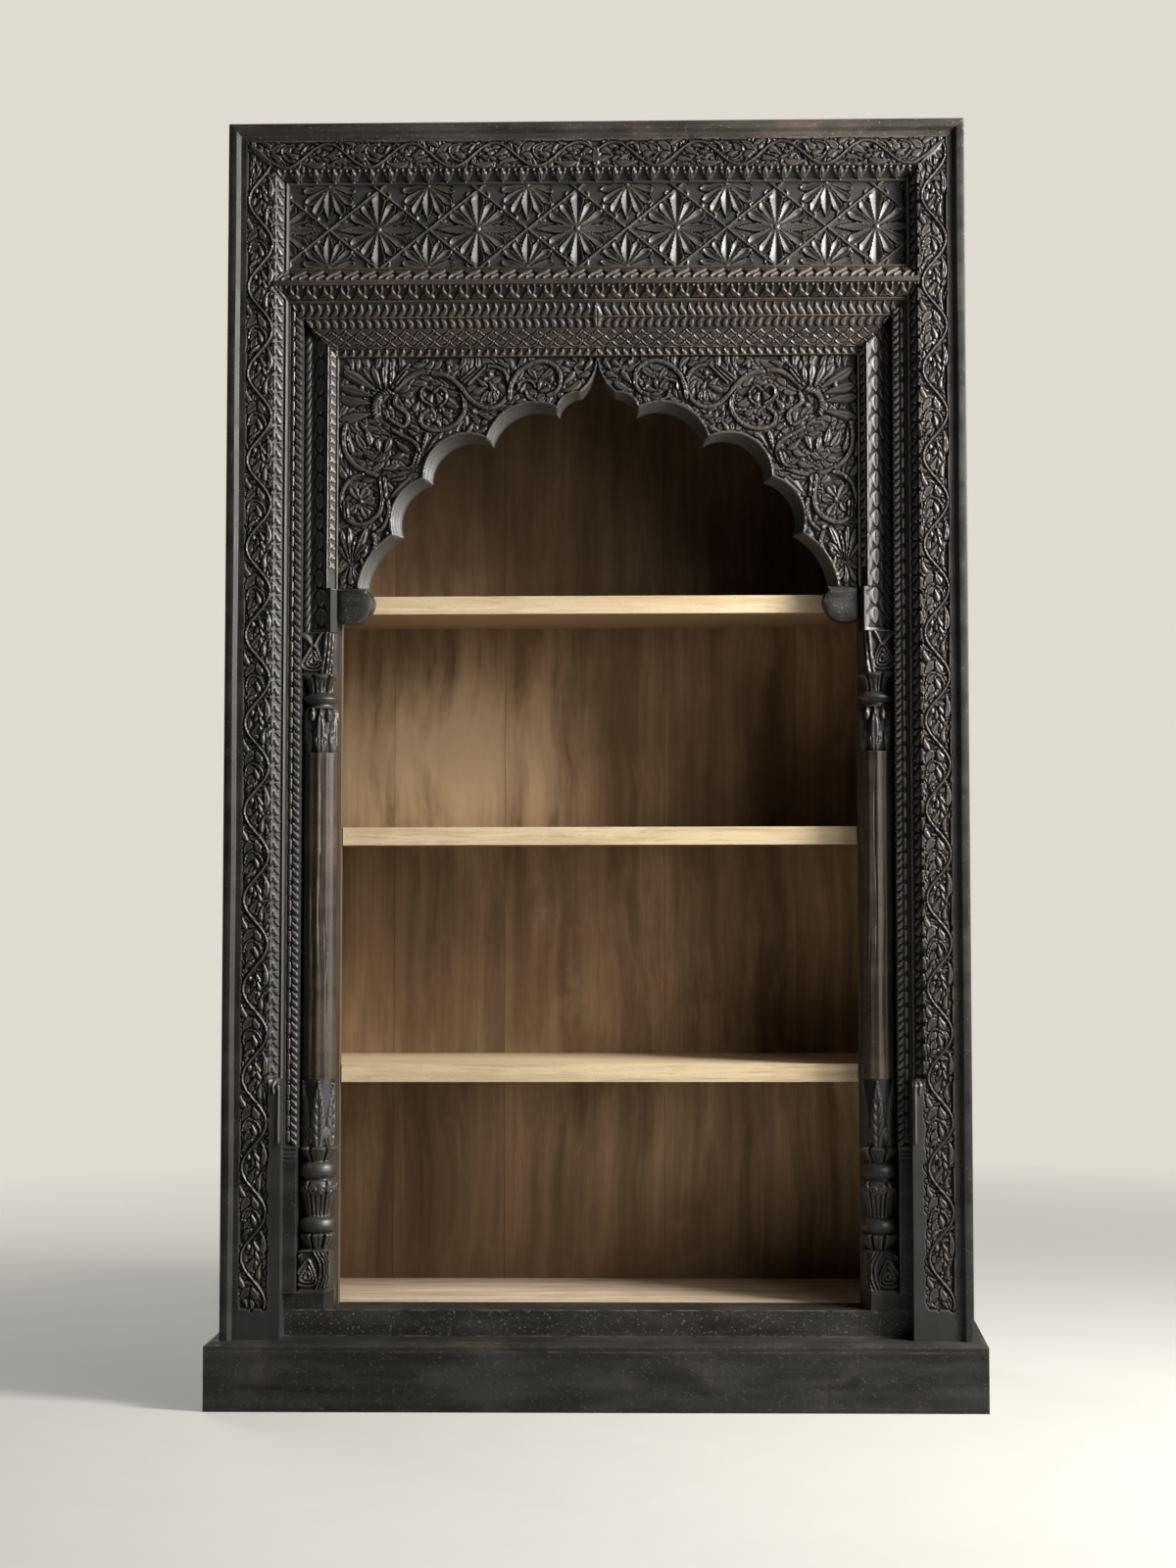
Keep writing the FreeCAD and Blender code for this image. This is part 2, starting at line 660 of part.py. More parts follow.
def portal():
    """Bead strips, ropes, ridged posts, the splayed lintel and the sill."""
    over_lintel = prism("over_lintel", "XZ_Plane", [
        ("post_inner", "lintel_low"),
        ("stile_inner", "rail_low"),
        ("post_inner", "rail_low"),
    ], ("front", "liner_face"))
    bead_blank = box("bead_strip_blank", ("bead_inner", "stile_inner"), ("bead_face", "liner_face"),
                     ("foot_block_top", "rail_low"))
    pair("bead_strip", cut("bead_strip", bead_blank, over_lintel))
    pair("foot_block", box("foot_block", ("bead_inner + foot_block_setback", "stile_inner"),
                           ("bead_face", "liner_face"), ("pad_top", "foot_block_top")))
    pair("column_pad", prism("column_pad", "XY_Plane", [
        ("post_inner + pad_chamfer_width", "sill_face"),
        ("stile_inner", "sill_face"),
        ("stile_inner", "liner_face"),
        ("post_inner", "liner_face"),
        ("post_inner", "sill_face + pad_chamfer_depth"),
    ], ("floor_top", "pad_top")))
    node("sill", box("sill", middle("stile_inner"), ("sill_face", "liner_back"),
                     ("plinth_height", "floor_top")))

    rope_blank = rod("rope_blank", "rope_x", "rope_y", "capital_top", "rope_diameter",
                     "rail_low - capital_top")
    rope_seat = box("rope_seat", ("post_ridge", "post_outer"), ("front", "liner_back"),
                    ("capital_top", "rail_low"))
    pair("rope", cut("rope", rope_blank, rope_seat, over_lintel))

    lintel = prism("lintel_blank", "XZ_Plane", [
        ("-post_inner", "lintel_low"),
        ("post_inner", "lintel_low"),
        ("stile_inner", "rail_low"),
        ("-stile_inner", "rail_low"),
    ], ("lintel_top_face", "liner_face"))
    splay = prism("lintel_splay_cut", "YZ_Plane", [
        ("lintel_top_face", "lintel_low"),
        ("lintel_low_face", "lintel_low"),
        ("lintel_top_face", "rail_low"),
    ], middle("half_width"))
    arch_groove = box("arch_groove", middle("post_inner + tongue_length + fit_clearance"),
                      ("tongue_face - fit_clearance", "tongue_back + fit_clearance"),
                      ("pendant_low", "lintel_low + tongue_length + fit_clearance"))
    node("lintel", cut("lintel", lintel, splay, arch_groove))
    post = prism("post_blank", "XY_Plane", [
        ("post_inner", "liner_face"),
        ("post_inner", "liner_face - post_inner_depth"),
        ("post_ridge", "liner_face - post_ridge_depth"),
        ("post_outer", "liner_face - post_outer_depth"),
        ("post_outer", "liner_face"),
    ], ("capital_top", "rail_low"))
    pair("post", cut("post", post, over_lintel, arch_groove))


def columns():
    """Carved base, faceted shaft and lotus capital, each with a flat at the back for the liner."""
    behind = box("behind_columns", ("0", "half_width"),
                 ("liner_face", "liner_face + column_radius"), ("floor_top", "capital_top"))
    half_block = "column_radius - block_inset"
    carved = (f"column_x - ({half_block})", f"column_x + {half_block}")
    base_block = box("base_block", carved, (f"column_y - ({half_block})", "liner_face"),
                     ("pad_top", "block_top"))
    turned_base = turning("base_turned", [
        ("0", "block_top"),
        ("neck_radius", "block_top"),
        ("column_radius", "flare_top"),
        ("ring_radius", "flare_top", "-ring_swell"),
        ("ring_radius", "lower_ring_top"),
        ("column_radius - vase_swell", "lower_ring_top", "-vase_swell"),
        ("column_radius - vase_swell", "vase_top"),
        ("ring_radius", "vase_top", "-ring_swell"),
        ("ring_radius", "upper_ring_top"),
        ("neck_radius", "upper_ring_top"),
        ("neck_radius", "base_neck_top"),
        ("column_radius", "collar_top - collar_lip"),
        ("column_radius - collar_lip", "collar_top"),
        ("column_radius", "collar_top + collar_lip"),
        ("column_radius - sheath_taper", "base_top"),
        ("0", "base_top"),
    ])
    base = joined("Part::Fuse", "base_blank", base_block, cut("base_flat", turned_base, behind))
    pair("column_base", base)

    shaft = doc.addObject("Part::Prism", "shaft_blank")
    shaft.Polygon = SHAFT_SIDES
    shaft.setExpression("Circumradius", spelled("column_radius"))
    shaft.setExpression("Height", spelled("capital_low - base_top"))
    for axis, place in zip("xyz", ("column_x", "column_y", "base_top")):
        shaft.setExpression(f"Placement.Base.{axis}", spelled(place))
    pair("column_shaft", cut("column_shaft", shaft, behind))

    turned_capital = turning("capital_turned", [
        ("0", "capital_low"),
        ("column_radius - lotus_lip / 2", "capital_low"),
        ("column_radius", "capital_low + lotus_lip"),
        ("ring_radius", "lotus_top"),
        ("neck_radius", "lotus_top"),
        ("neck_radius", "capital_ring_low"),
        ("ring_radius", "capital_ring_low", "-ring_swell"),
        ("ring_radius", "capital_collar_low"),
        ("neck_radius", "capital_collar_low"),
        ("column_radius", "capital_block_low"),
        ("0", "capital_block_low"),
    ])
    across = ("column_x - column_radius", "column_x + column_radius")
    block = box("capital_block_blank", across, ("column_y - column_radius", "liner_face"),
                ("capital_block_low", "capital_top"))
    flat_capital = cut("capital_flat", turned_capital, behind)
    pair("column_capital", joined("Part::Fuse", "capital_blank", block, flat_capital))


def arch_outline(bevel):
    """The right spandrel from the front, with its arch set back by a bevel."""
    points = []
    for out, up, share, _ in ARCH:
        away = f"post_inner * {out}"
        above = f"arch_rise * {up}"
        grown = f"(1 + {share} * ({bevel}) / sqrt(({away})^2 + ({above})^2))"
        points.append((f"{away} * {grown}", f"springing + {above} * {grown}"))
    corners = []
    for (away, level), (next_away, next_level), (*_, rise) in zip(points, points[1:], ARCH):
        chord = f"sqrt((({next_away}) - ({away}))^2 + (({next_level}) - ({level}))^2)"
        corners.append((away, level, f"{-rise} * {chord}"))
    corners.append(("0", points[-1][1]))
    corners.append(("0", "lintel_low"))
    corners.append(("post_inner", "lintel_low"))
    corners.append(("post_inner", "springing"))
    return corners


def spandrels():
    """The cusped arch in two halves, tongued into post and lintel, with a pendant under each end."""
    body = doc.addObject("PartDesign::Body", "spandrel_body")
    face = outline(body, "XZ_Plane", arch_outline("arch_bevel"), "-spandrel_face")
    edge = outline(body, "XZ_Plane", arch_outline("0"), "-(spandrel_face + arch_bevel)")
    bevelled = body.newObject("PartDesign::AdditiveLoft", "spandrel_bevelled")
    bevelled.Profile = face
    bevelled.Sections = [edge]
    bevelled.Ruled = True
    backing = body.newObject("PartDesign::Pad", "spandrel_backing")
    backing.Profile = edge
    backing.Reversed = True
    backing.setExpression("Length", spelled("spandrel_thickness - arch_bevel"))
    tongue_deep = ("tongue_face", "tongue_back")
    tongue_across = ("post_inner", "post_inner + tongue_length")
    top_tongue = box("top_tongue", ("0", "post_inner"), tongue_deep,
                     ("lintel_low", "lintel_low + tongue_length"))
    side_tongue = box("side_tongue", tongue_across, tongue_deep, ("springing", "lintel_low"))
    spandrel = joined("Part::Fuse", "spandrel_topped", body, top_tongue)
    pair("spandrel", joined("Part::Fuse", "spandrel_tongued", spandrel, side_tongue))

    pendant = prism("pendant_blank", "XZ_Plane", [
        ("post_inner", "springing"),
        ("pendant_inner + pendant_facet", "springing"),
        ("pendant_inner", "springing - pendant_facet"),
        ("pendant_inner", "pendant_low + pendant_round", f"-{QUARTER_ARC_RISE} * pendant_round"),
        ("pendant_inner + pendant_round", "pendant_low"),
        ("post_inner", "pendant_low"),
    ], ("pendant_face", "spandrel_back"))
    pendant_tongue = box("pendant_tongue", tongue_across, tongue_deep, ("pendant_low", "springing"))
    pair("pendant", joined("Part::Fuse", "pendant_tongued", pendant, pendant_tongue))


fill_sheet("Sizes", {alias: str(value) for alias, value in SIZES.items()})
fill_sheet("Places", {alias: "=" + spelled(formula) for alias, formula in PLACES.items()})
doc.recompute()

plinth()
carcass()
outer_frame()
portal()
columns()
spandrels()
doc.recompute()

for item in doc.Objects:
    if {"Invalid", "Error"} & set(item.State):
        raise RuntimeError(f"{item.Label} did not build: {item.State}")
for piece in nodes:
    if piece.Shape.isNull() or not piece.Shape.isValid():
        raise RuntimeError(f"{piece.Label} has no sound shape")

os.makedirs("parts", exist_ok=True)
for piece in nodes:
    piece.Shape.exportStep(f"parts/{piece.Label}.step")
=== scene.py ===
from math import cos, hypot, pi, radians, sin

import bmesh
import bpy
import numpy as np
from mathutils import Euler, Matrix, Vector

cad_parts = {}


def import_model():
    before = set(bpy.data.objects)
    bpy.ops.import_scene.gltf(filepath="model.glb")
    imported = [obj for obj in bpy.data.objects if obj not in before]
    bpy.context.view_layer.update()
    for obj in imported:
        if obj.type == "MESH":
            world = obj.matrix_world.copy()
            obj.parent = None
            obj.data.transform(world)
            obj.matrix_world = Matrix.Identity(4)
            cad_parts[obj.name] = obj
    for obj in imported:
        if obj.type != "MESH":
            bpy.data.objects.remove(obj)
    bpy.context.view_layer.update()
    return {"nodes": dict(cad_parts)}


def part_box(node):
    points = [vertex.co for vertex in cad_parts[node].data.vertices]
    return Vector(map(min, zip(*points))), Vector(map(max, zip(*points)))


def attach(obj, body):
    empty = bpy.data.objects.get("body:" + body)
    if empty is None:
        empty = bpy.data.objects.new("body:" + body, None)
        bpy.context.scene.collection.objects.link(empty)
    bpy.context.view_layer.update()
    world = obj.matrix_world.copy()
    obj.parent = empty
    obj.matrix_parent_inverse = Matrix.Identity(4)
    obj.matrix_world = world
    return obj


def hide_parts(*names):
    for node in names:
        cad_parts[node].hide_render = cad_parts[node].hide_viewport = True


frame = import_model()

# The carving is drawn in millimetres: x from the middle, z up from the floor, and depth back from the
# face of the rim, which stands at y = RIM_FACE.
MM = 0.001
RIM_FACE = -190.0
PITCH = 1.5
LEFT, RIGHT = -1, 1
SIDE_NAMES = {LEFT: "left", RIGHT: "right"}
draw = np.random.default_rng(7)

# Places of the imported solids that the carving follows.
PLINTH_TOP = 111.0
BAND_OUT, BAND_IN, STILE_IN = 587.0, 541.0, 519.0
BAND_TOP, BAND_LOW, TOP_RAIL_LOW = 2101.0, 2055.0, 2033.0
BAND_DEPTH, BEVEL_BACK, FRAME_BACK = 8.0, 30.0, 68.0
BEVEL_STOP = 530.0
FRIEZE_LOW, FRIEZE_DEPTH, FRIEZE_BACK = 1890.5, 36.0, 50.0
RIDGE_HIGH, RIDGE_LOW, RAIL_LOW = 1864.5, 1858.5, 1832.5
LINTEL_LOW, LINTEL_TOP_DEPTH, LINTEL_LOW_DEPTH = 1744.0, 32.0, 62.0
POST_IN, POST_RIDGE, POST_OUT = 438.7, 453.7, 484.7
LINER_FACE = 104.0
CAPITAL_TOP, CAPITAL_LOW, BASE_TOP, PAD_TOP = 1277.0, 1075.0, 532.0, 182.0
COLUMN_X, COLUMN_DEPTH, COLUMN_RADIUS = 467.2, 76.5, 28.5
SPRINGING, ARCH_RISE = 1353.0, 382.5
SPANDREL_FACE, SPANDREL_BACK, ARCH_BEVEL = 64.0, 92.0, 18.0


def places(low, high, pitch, *stops):
    """Evenly spaced places from low to high that take in each stop."""
    edges = [low, *stops, high]
    line = [np.array([low])]
    for start, end in zip(edges, edges[1:]):
        count = max(1, int(round((end - start) / pitch)))
        line.append(np.linspace(start, end, count + 1)[1:])
    return np.concatenate(line)


def curve(start, end, bend, count=9):
    """Points from start to end along an arc whose middle stands off by a share of its length."""
    start = np.array(start, float)
    end = np.array(end, float)
    run = end - start
    middle = (start + end) / 2 + bend * np.array([-run[1], run[0]]) * 2
    share = np.linspace(0, 1, count)[:, None]
    return (1 - share) ** 2 * start + 2 * share * (1 - share) * middle + share ** 2 * end


def smooth(points, count=6):
    """A rounded line through the given points."""
    points = np.array(points, float)
    ends = np.vstack([2 * points[0] - points[1], points, 2 * points[-1] - points[-2]])
    line = []
    for before, start, end, after in zip(ends, ends[1:], ends[2:], ends[3:]):
        share = np.linspace(0, 1, count, endpoint=False)[:, None]
        line.append(0.5 * (2 * start + (end - before) * share
                           + (2 * before - 5 * start + 4 * end - after) * share ** 2
                           + (3 * start - before - 3 * end + after) * share ** 3))
    line.append(points[-1:])
    return np.vstack(line)


def spiral(centre, radius, start, turns, count, inner=0.18):
    """Points that wind in to a centre; start in degrees."""
    share = np.linspace(0, 1, count)
    angle = np.radians(start) + share * turns * 2 * pi
    reach = radius * (1 - share * (1 - inner))
    return np.stack([centre[0] + reach * np.cos(angle), centre[1] + reach * np.sin(angle)], -1)


def dome(off):
    """Height of a half round at each share of its radius."""
    return np.sqrt(np.clip(1 - off ** 2, 0, 1))


# Where along its rib a petal and a drop-shaped leaf are widest.
PETAL_WIDEST, DROP_WIDEST = 0.74, 0.64


def leaf_outline(share, form):
    """Half width of a leaf along its rib, as a share of the widest."""
    if form == "blade":
        return np.sin(pi * np.clip(share, 0, 1) ** 0.8)
    if form == "oval":
        return dome(2 * share - 1)
    widest = PETAL_WIDEST if form == "petal" else DROP_WIDEST
    round_end = dome(np.clip(share - widest, 0, 1) / (1 - widest))
    if form == "petal":
        return np.clip(0.16 + 1.135 * share, 0, 1) * round_end
    return np.clip(share / widest, 0, 1) ** 0.8 * round_end


class Carving:
    """A face being carved: heights in mm over u, along the piece, and v, across it."""

    def __init__(self, u, v, ground=0.0):
        self.u = u
        self.v = v
        self.ground = float(ground)
        self.across, self.along = np.meshgrid(v, u)
        self.height = np.full(self.along.shape, self.ground)
        self.polish_and_shade = np.ones(self.along.shape)
        self.waxed = np.zeros(self.along.shape)

    def mirrored(self):
        """The face and its mirror image about u = 0, as one."""
        whole = Carving(np.concatenate([-self.u[:0:-1], self.u]), self.v)
        whole.height = np.vstack([self.height[:0:-1], self.height])
        return whole

    def patch(self, points, reach):
        """Rows and columns that take in the points and what lies within reach of them."""
        low = np.min(points, axis=0) - reach
        high = np.max(points, axis=0) + reach
        rows = slice(*np.searchsorted(self.u, (low[0], high[0])))
        columns = slice(*np.searchsorted(self.v, (low[1], high[1])))
        return rows, columns

    def measure(self, patch, line):
        """How far each place in a patch lies from a line, and how far along the line that is."""
        along = self.along[patch]
        across = self.across[patch]
        nearest = np.full(along.shape, np.inf)
        share = np.zeros(along.shape)
        for index, (start, end) in enumerate(zip(line, line[1:])):
            run = end - start
            square = max(run @ run, 1e-9)
            part = ((along - start[0]) * run[0] + (across - start[1]) * run[1]) / square
            part = np.clip(part, 0, 1)
            away = np.hypot(along - start[0] - part * run[0], across - start[1] - part * run[1])
            closer = away < nearest
            nearest[closer] = away[closer]
            share[closer] = ((index + part) / (len(line) - 1))[closer]
        return nearest, share

    def stretches(self, line, reach):
        """A line in short stretches: the patch round each, how far off its places lie, and how far along."""
        line = np.asarray(line, float)
        count = len(line) - 1
        for first in range(0, count, 6):
            piece = line[first:first + 7]
            patch = self.patch(piece, reach)
            away, share = self.measure(patch, piece)
            yield patch, away, (first + share * (len(piece) - 1)) / count

    def outline(self, start, end, half, form, bend=0.0, apart=0.0, count=5):
        """The patch round a leaf, how far its places lie from the rib, and the half width beside each."""
        line = curve(start, end, bend, count)
        patch = self.patch(line, half + apart)
        away, share = self.measure(patch, line)
        return patch, away, half * leaf_outline(share, form)

    def raise_to(self, patch, inside, level):
        """Raise the places inside to a level where they lie lower."""
        held = self.height[patch]
        held[inside] = np.maximum(held[inside], level[inside])

    def sink_to(self, patch, inside, level):
        """Sink the places inside to a level where they lie higher."""
        held = self.height[patch]
        held[inside] = np.minimum(held[inside], np.broadcast_to(level, held.shape)[inside])

    def lay(self, low, high, level, start=-np.inf):
        """Lay the ground of a band between two places across, beyond a start; what follows stands on it."""
        self.ground = level
        self.height[(self.across > low) & (self.across < high) & (self.along > start)] = level

    def stem(self, line, radius, top, end_radius=None, apart=0.0, low=None):
        """A round stem along a line, which may thin out to its end and be cut clear of what it crosses."""
        end_radius = end_radius or radius
        low = self.ground if low is None else low
        pieces = []
        for patch, away, share in self.stretches(line, max(radius, end_radius) + apart):
            wide = radius + (end_radius - radius) * share
            if apart:
                self.sink_to(patch, away < wide + apart, low + 0.2 * (top - low))
            pieces.append((patch, away / wide))
        for patch, off in pieces:
            self.raise_to(patch, off < 1, low + (top - low) * dome(off))

    def leaf(self, start, end, half, top, bend=0.0, form="drop", hollow=0.0, rib=0.0, apart=0.0, low=None):
        """A leaf or petal from its stalk to its tip: hollowed, ribbed or cut clear of others as asked."""
        low = self.ground if low is None else low
        patch, away, wide = self.outline(start, end, half, form, bend, apart, 9)
        if apart:
            self.sink_to(patch, away < wide + apart, low + 0.15 * (top - low))
        off = away / np.maximum(wide, 1e-6)
        level = low + (top - low) * np.clip(1 - off ** 2, 0, 1) ** 0.55
        level -= hollow * np.clip(1 - (off / 0.7) ** 2, 0, 1)
        level -= rib * np.exp(-(off / 0.17) ** 2)
        self.raise_to(patch, off < 1, level)

    def clear(self, start, end, half, level, form):
        """Sink the ground inside a petal's outline."""
        patch, away, wide = self.outline(start, end, half, form)
        self.sink_to(patch, away < wide, level)

    def chip(self, start, end, half, rim, slope, form):
        """A chip-cut petal: its edge stands at the rim and its two walls fall evenly to the middle."""
        patch, away, wide = self.outline(start, end, half, form)
        inside = away < wide
        self.height[patch][inside] = (rim - slope * (wide - away))[inside]

    def bead(self, centre, radius, top, low=None):
        """A half-round bead."""
        low = self.ground if low is None else low
        patch = self.patch([centre], radius)
        off = np.hypot(self.along[patch] - centre[0], self.across[patch] - centre[1]) / radius
        self.raise_to(patch, off < 1, low + (top - low) * dome(off))

    def groove(self, line, half, deep):
        """A round groove along a line."""
        for patch, away, _ in self.stretches(line, half):
            off = away / half
            self.sink_to(patch, off < 1, self.height[patch] - deep * (1 - off ** 2).clip(0, 1))

    def shares(self, low, top):
        """Height as a share of the carving's depth, and how far each place stands above those round it."""
        height = self.height
        padded = np.pad(height, 2, mode="edge")
        around = sum(padded[2 + a:2 + a + height.shape[0], 2 + b:2 + b + height.shape[1]]
                     for a, b in ((-2, 0), (2, 0), (0, -2), (0, 2), (-1, -1), (-1, 1), (1, -1), (1, 1))) / 8
        crest = np.clip(0.5 + (height - around) / 2.0, 0, 1)
        relief = np.clip((height - low) / (top - low), 0, 1) * self.polish_and_shade
        return np.maximum(relief, self.waxed), crest


def world(x, depth, z):
    """Millimetre arrays as points of the shared frame, in metres."""
    x, depth, z = np.broadcast_arrays(x, depth, z)
    return np.stack([x, depth + RIM_FACE, z], -1) * MM


def new_mesh(name, points, faces, material):
    """A mesh object in the scene, with one material."""
    mesh = bpy.data.meshes.new(name)
    mesh.from_pydata(points, [], faces)
    mesh.materials.append(material)
    made = bpy.data.objects.new(name, mesh)
    bpy.context.scene.collection.objects.link(made)
    return made


CARVED, PLAIN = "carved_dark_wood", "plain_dark_wood"
LAYERS = ("relief", "crest")
# Relief and crest of the sides and the back of a carved board.
PLAIN_SHARES = (0.6, 0.5)


def add_piece(name, node, points, faces, shares, material, slot=CARVED, sharp=48):
    """Make one carved piece, which stands for its solid in the frame."""
    piece = new_mesh(name, points.tolist(), faces, material)
    mesh = piece.data
    for label, values in zip(LAYERS, shares):
        layer = mesh.attributes.new(label, "FLOAT", "POINT")
        layer.data.foreach_set("value", np.ascontiguousarray(values, dtype=np.float32))
    work = bmesh.new()
    work.from_mesh(mesh)
    bmesh.ops.remove_doubles(work, verts=work.verts, dist=0.03 * MM)
    bmesh.ops.recalc_face_normals(work, faces=work.faces)
    work.to_mesh(mesh)
    work.free()
    mesh.shade_smooth()
    mesh.set_sharp_from_angle(angle=radians(sharp))
    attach(piece, "root")
    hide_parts(node)


def carved_board(name, node, front, board, low, top, back, material, keep=None, slot=CARVED):
    """A carved front on a board: the front's edge runs back to a flat back at the given depth."""
    rows, columns = front.shape[:2]
    index = np.arange(rows * columns).reshape(rows, columns)
    corners = (index[:-1, :-1], index[1:, :-1], index[1:, 1:], index[:-1, 1:])
    quads = np.stack(corners, -1).reshape(-1, 4)
    flat = front.reshape(-1, 3)
    if keep is not None:
        quads = quads[keep.reshape(-1)[quads].all(axis=1)]
    edges = np.concatenate([quads[:, [a, b]] for a, b in ((0, 1), (1, 2), (2, 3), (3, 0))])
    key = np.sort(edges, axis=1)
    _, first, count = np.unique(key[:, 0] * rows * columns + key[:, 1], return_index=True, return_counts=True)
    rim = edges[first[count == 1]]
    used = np.unique(quads)
    renumber = np.full(rows * columns, -1)
    renumber[used] = np.arange(len(used))
    after = dict(rim.tolist())
    start = rim[0][0]
    loop = [start]
    while after[loop[-1]] != start:
        loop.append(after[loop[-1]])
    behind = flat[loop].copy()
    behind[:, 1] = (back + RIM_FACE) * MM
    behind_at = len(used) + np.arange(len(loop))
    walls = np.stack([renumber[np.roll(loop, -1)], renumber[loop], behind_at, np.roll(behind_at, -1)], -1)
    faces = renumber[quads].tolist() + walls.tolist() + [behind_at[::-1].tolist()]
    points = np.vstack([flat[used], behind])
    shares = [np.concatenate([values.reshape(-1)[used], np.full(len(loop), plain)])
              for values, plain in zip(board.shares(low, top), PLAIN_SHARES)]
    add_piece(name, node, points, faces, shares, material, slot)


def lathe(name, node, points, shares, material, sharp=48):
    """Close a ring of points swept along an upright, with a cap at each end."""
    rows, columns = points.shape[:2]
    index = np.arange(rows * columns).reshape(rows, columns)
    ahead = np.roll(index, -1, axis=1)
    quads = np.stack([index[:-1], ahead[:-1], ahead[1:], index[1:]], -1).reshape(-1, 4)
    faces = quads.tolist() + [index[0].tolist(), index[-1][::-1].tolist()]
    add_piece(name, node, points.reshape(-1, 3), faces, [values.reshape(-1) for values in shares], material,
              sharp=sharp)


# Shader helpers


def fill(tree, socket, value):
    """Set a socket's value, or link it to another node's output."""
    if isinstance(value, bpy.types.NodeSocket):
        tree.links.new(value, socket)
    else:
        socket.default_value = value


def put(tree, kind, inputs=None, **settings):
    """Add a shader node, set its options, and fill its inputs with values or other nodes' outputs."""
    made = tree.nodes.new(kind)
    for name, value in settings.items():
        setattr(made, name, value)
    for name, value in (inputs or {}).items():
        fill(tree, made.inputs[name], value)
    return made


def sum_up(tree, operation, first, second):
    return put(tree, "ShaderNodeMath", {0: first, 1: second}, operation=operation).outputs[0]


def times(tree, first, second):
    return sum_up(tree, "MULTIPLY", first, second)


def vector(tree, operation, first, second):
    return put(tree, "ShaderNodeVectorMath", {0: first, 1: second}, operation=operation).outputs[0]


def length(tree, place):
    return put(tree, "ShaderNodeVectorMath", {0: place}, operation="LENGTH").outputs["Value"]


def between(tree, value, low, high, start=0.0, end=1.0):
    ramp = put(tree, "ShaderNodeMapRange", {"Value": value, "From Min": low, "From Max": high,
                                            "To Min": start, "To Max": end}, clamp=True)
    return ramp.outputs["Result"]


def mixed(tree, share, first, second):
    return put(tree, "ShaderNodeMix", {0: share, 6: first, 7: second}, data_type="RGBA").outputs[2]


def noise(tree, place, scale, detail, roughness=0.5):
    return put(tree, "ShaderNodeTexNoise", {"Vector": place, "Scale": scale, "Detail": detail,
                                            "Roughness": roughness}).outputs


def own_place(tree):
    return put(tree, "ShaderNodeTexCoord").outputs["Object"]


def part_of(tree, place, axis):
    return put(tree, "ShaderNodeSeparateXYZ", {0: place}).outputs[axis]


def facing(tree, axis):
    """How far a surface faces along an axis."""
    return part_of(tree, put(tree, "ShaderNodeNewGeometry").outputs["Normal"], axis)


def shade(red, green, blue):
    return (red, green, blue, 1.0)


def toned(colour, share):
    """A colour made darker or lighter."""
    return shade(*(share * channel for channel in colour[:3]))


def worded(label):
    return label.replace("_", " ").capitalize()


def new_group(name, **inputs):
    """Start a shared effect with named inputs and their starting values."""
    tree = bpy.data.node_groups.new(name, "ShaderNodeTree")
    for label, value in inputs.items():
        kind = "NodeSocketVector" if isinstance(value, tuple) else "NodeSocketFloat"
        tree.interface.new_socket(worded(label), in_out="INPUT", socket_type=kind).default_value = value
    return tree, tree.nodes.new("NodeGroupInput").outputs


def give_out(tree, **results):
    """Name a shared effect's results and join them to its outputs."""
    for label in results:
        tree.interface.new_socket(worded(label), in_out="OUTPUT", socket_type="NodeSocketFloat")
    ends = tree.nodes.new("NodeGroupOutput").inputs
    for label, value in results.items():
        tree.links.new(value, ends[worded(label)])
    return tree


def use_group(tree, group, **inputs):
    """Add a shared effect to a material and fill its inputs."""
    values = {worded(label): value for label, value in inputs.items()}
    return put(tree, "ShaderNodeGroup", values, node_tree=group).outputs


def wood_grain_group():
    """Long streaks and pores along the grain, stretched by the given scale."""
    tree, given = new_group("wood grain", stretch=(60.0, 60.0, 3.0), wander=0.6)
    place = own_place(tree)
    drift = noise(tree, place, 3.0, 3.0)
    sway = put(tree, "ShaderNodeVectorMath", {0: drift["Color"], "Scale": given["Wander"]}, operation="SCALE")
    moved = vector(tree, "ADD", vector(tree, "MULTIPLY", place, given["Stretch"]), sway.outputs[0])
    streaks = noise(tree, moved, 1.0, 6.0, 0.62)
    pores = noise(tree, vector(tree, "MULTIPLY", moved, (4.0, 4.0, 3.0)), 1.0, 3.0)
    return give_out(tree, streaks=streaks[0], pores=between(tree, pores[0], 0.52, 0.68), drift=drift[0])


def edge_wear_group():
    """A mask that is strong along rubbed edges, broken up by noise."""
    tree, given = new_group("edge wear", reach=0.003, break_up=60.0)
    rounded = put(tree, "ShaderNodeBevel", {"Radius": given["Reach"]}, samples=6)
    plain = put(tree, "ShaderNodeNewGeometry").outputs["Normal"]
    turn = put(tree, "ShaderNodeVectorMath", {0: rounded.outputs[0], 1: plain}, operation="DOT_PRODUCT")
    edge = between(tree, turn.outputs["Value"], 0.995, 0.86)
    patches = noise(tree, own_place(tree), given["Break up"], 5.0, 0.65)
    return give_out(tree, mask=times(tree, edge, between(tree, patches[0], 0.40, 0.62)))


def rubbed_patches_group():
    """Patches of wear, small knocks and level smears over a surface."""
    tree, given = new_group("rubbed patches", size=9.0, share=0.4)
    place = own_place(tree)
    broad = noise(tree, place, given["Size"], 7.0, 0.68)
    start = sum_up(tree, "SUBTRACT", 0.72, times(tree, given["Share"], 0.3))
    small = noise(tree, place, 240.0, 2.0)
    smears = noise(tree, vector(tree, "MULTIPLY", place, (8.0, 8.0, 30.0)), 1.0, 4.0)
    return give_out(tree, patches=between(tree, broad[0], start, 0.78),
                    knocks=between(tree, small[0], 0.63, 0.72), smears=smears[0])


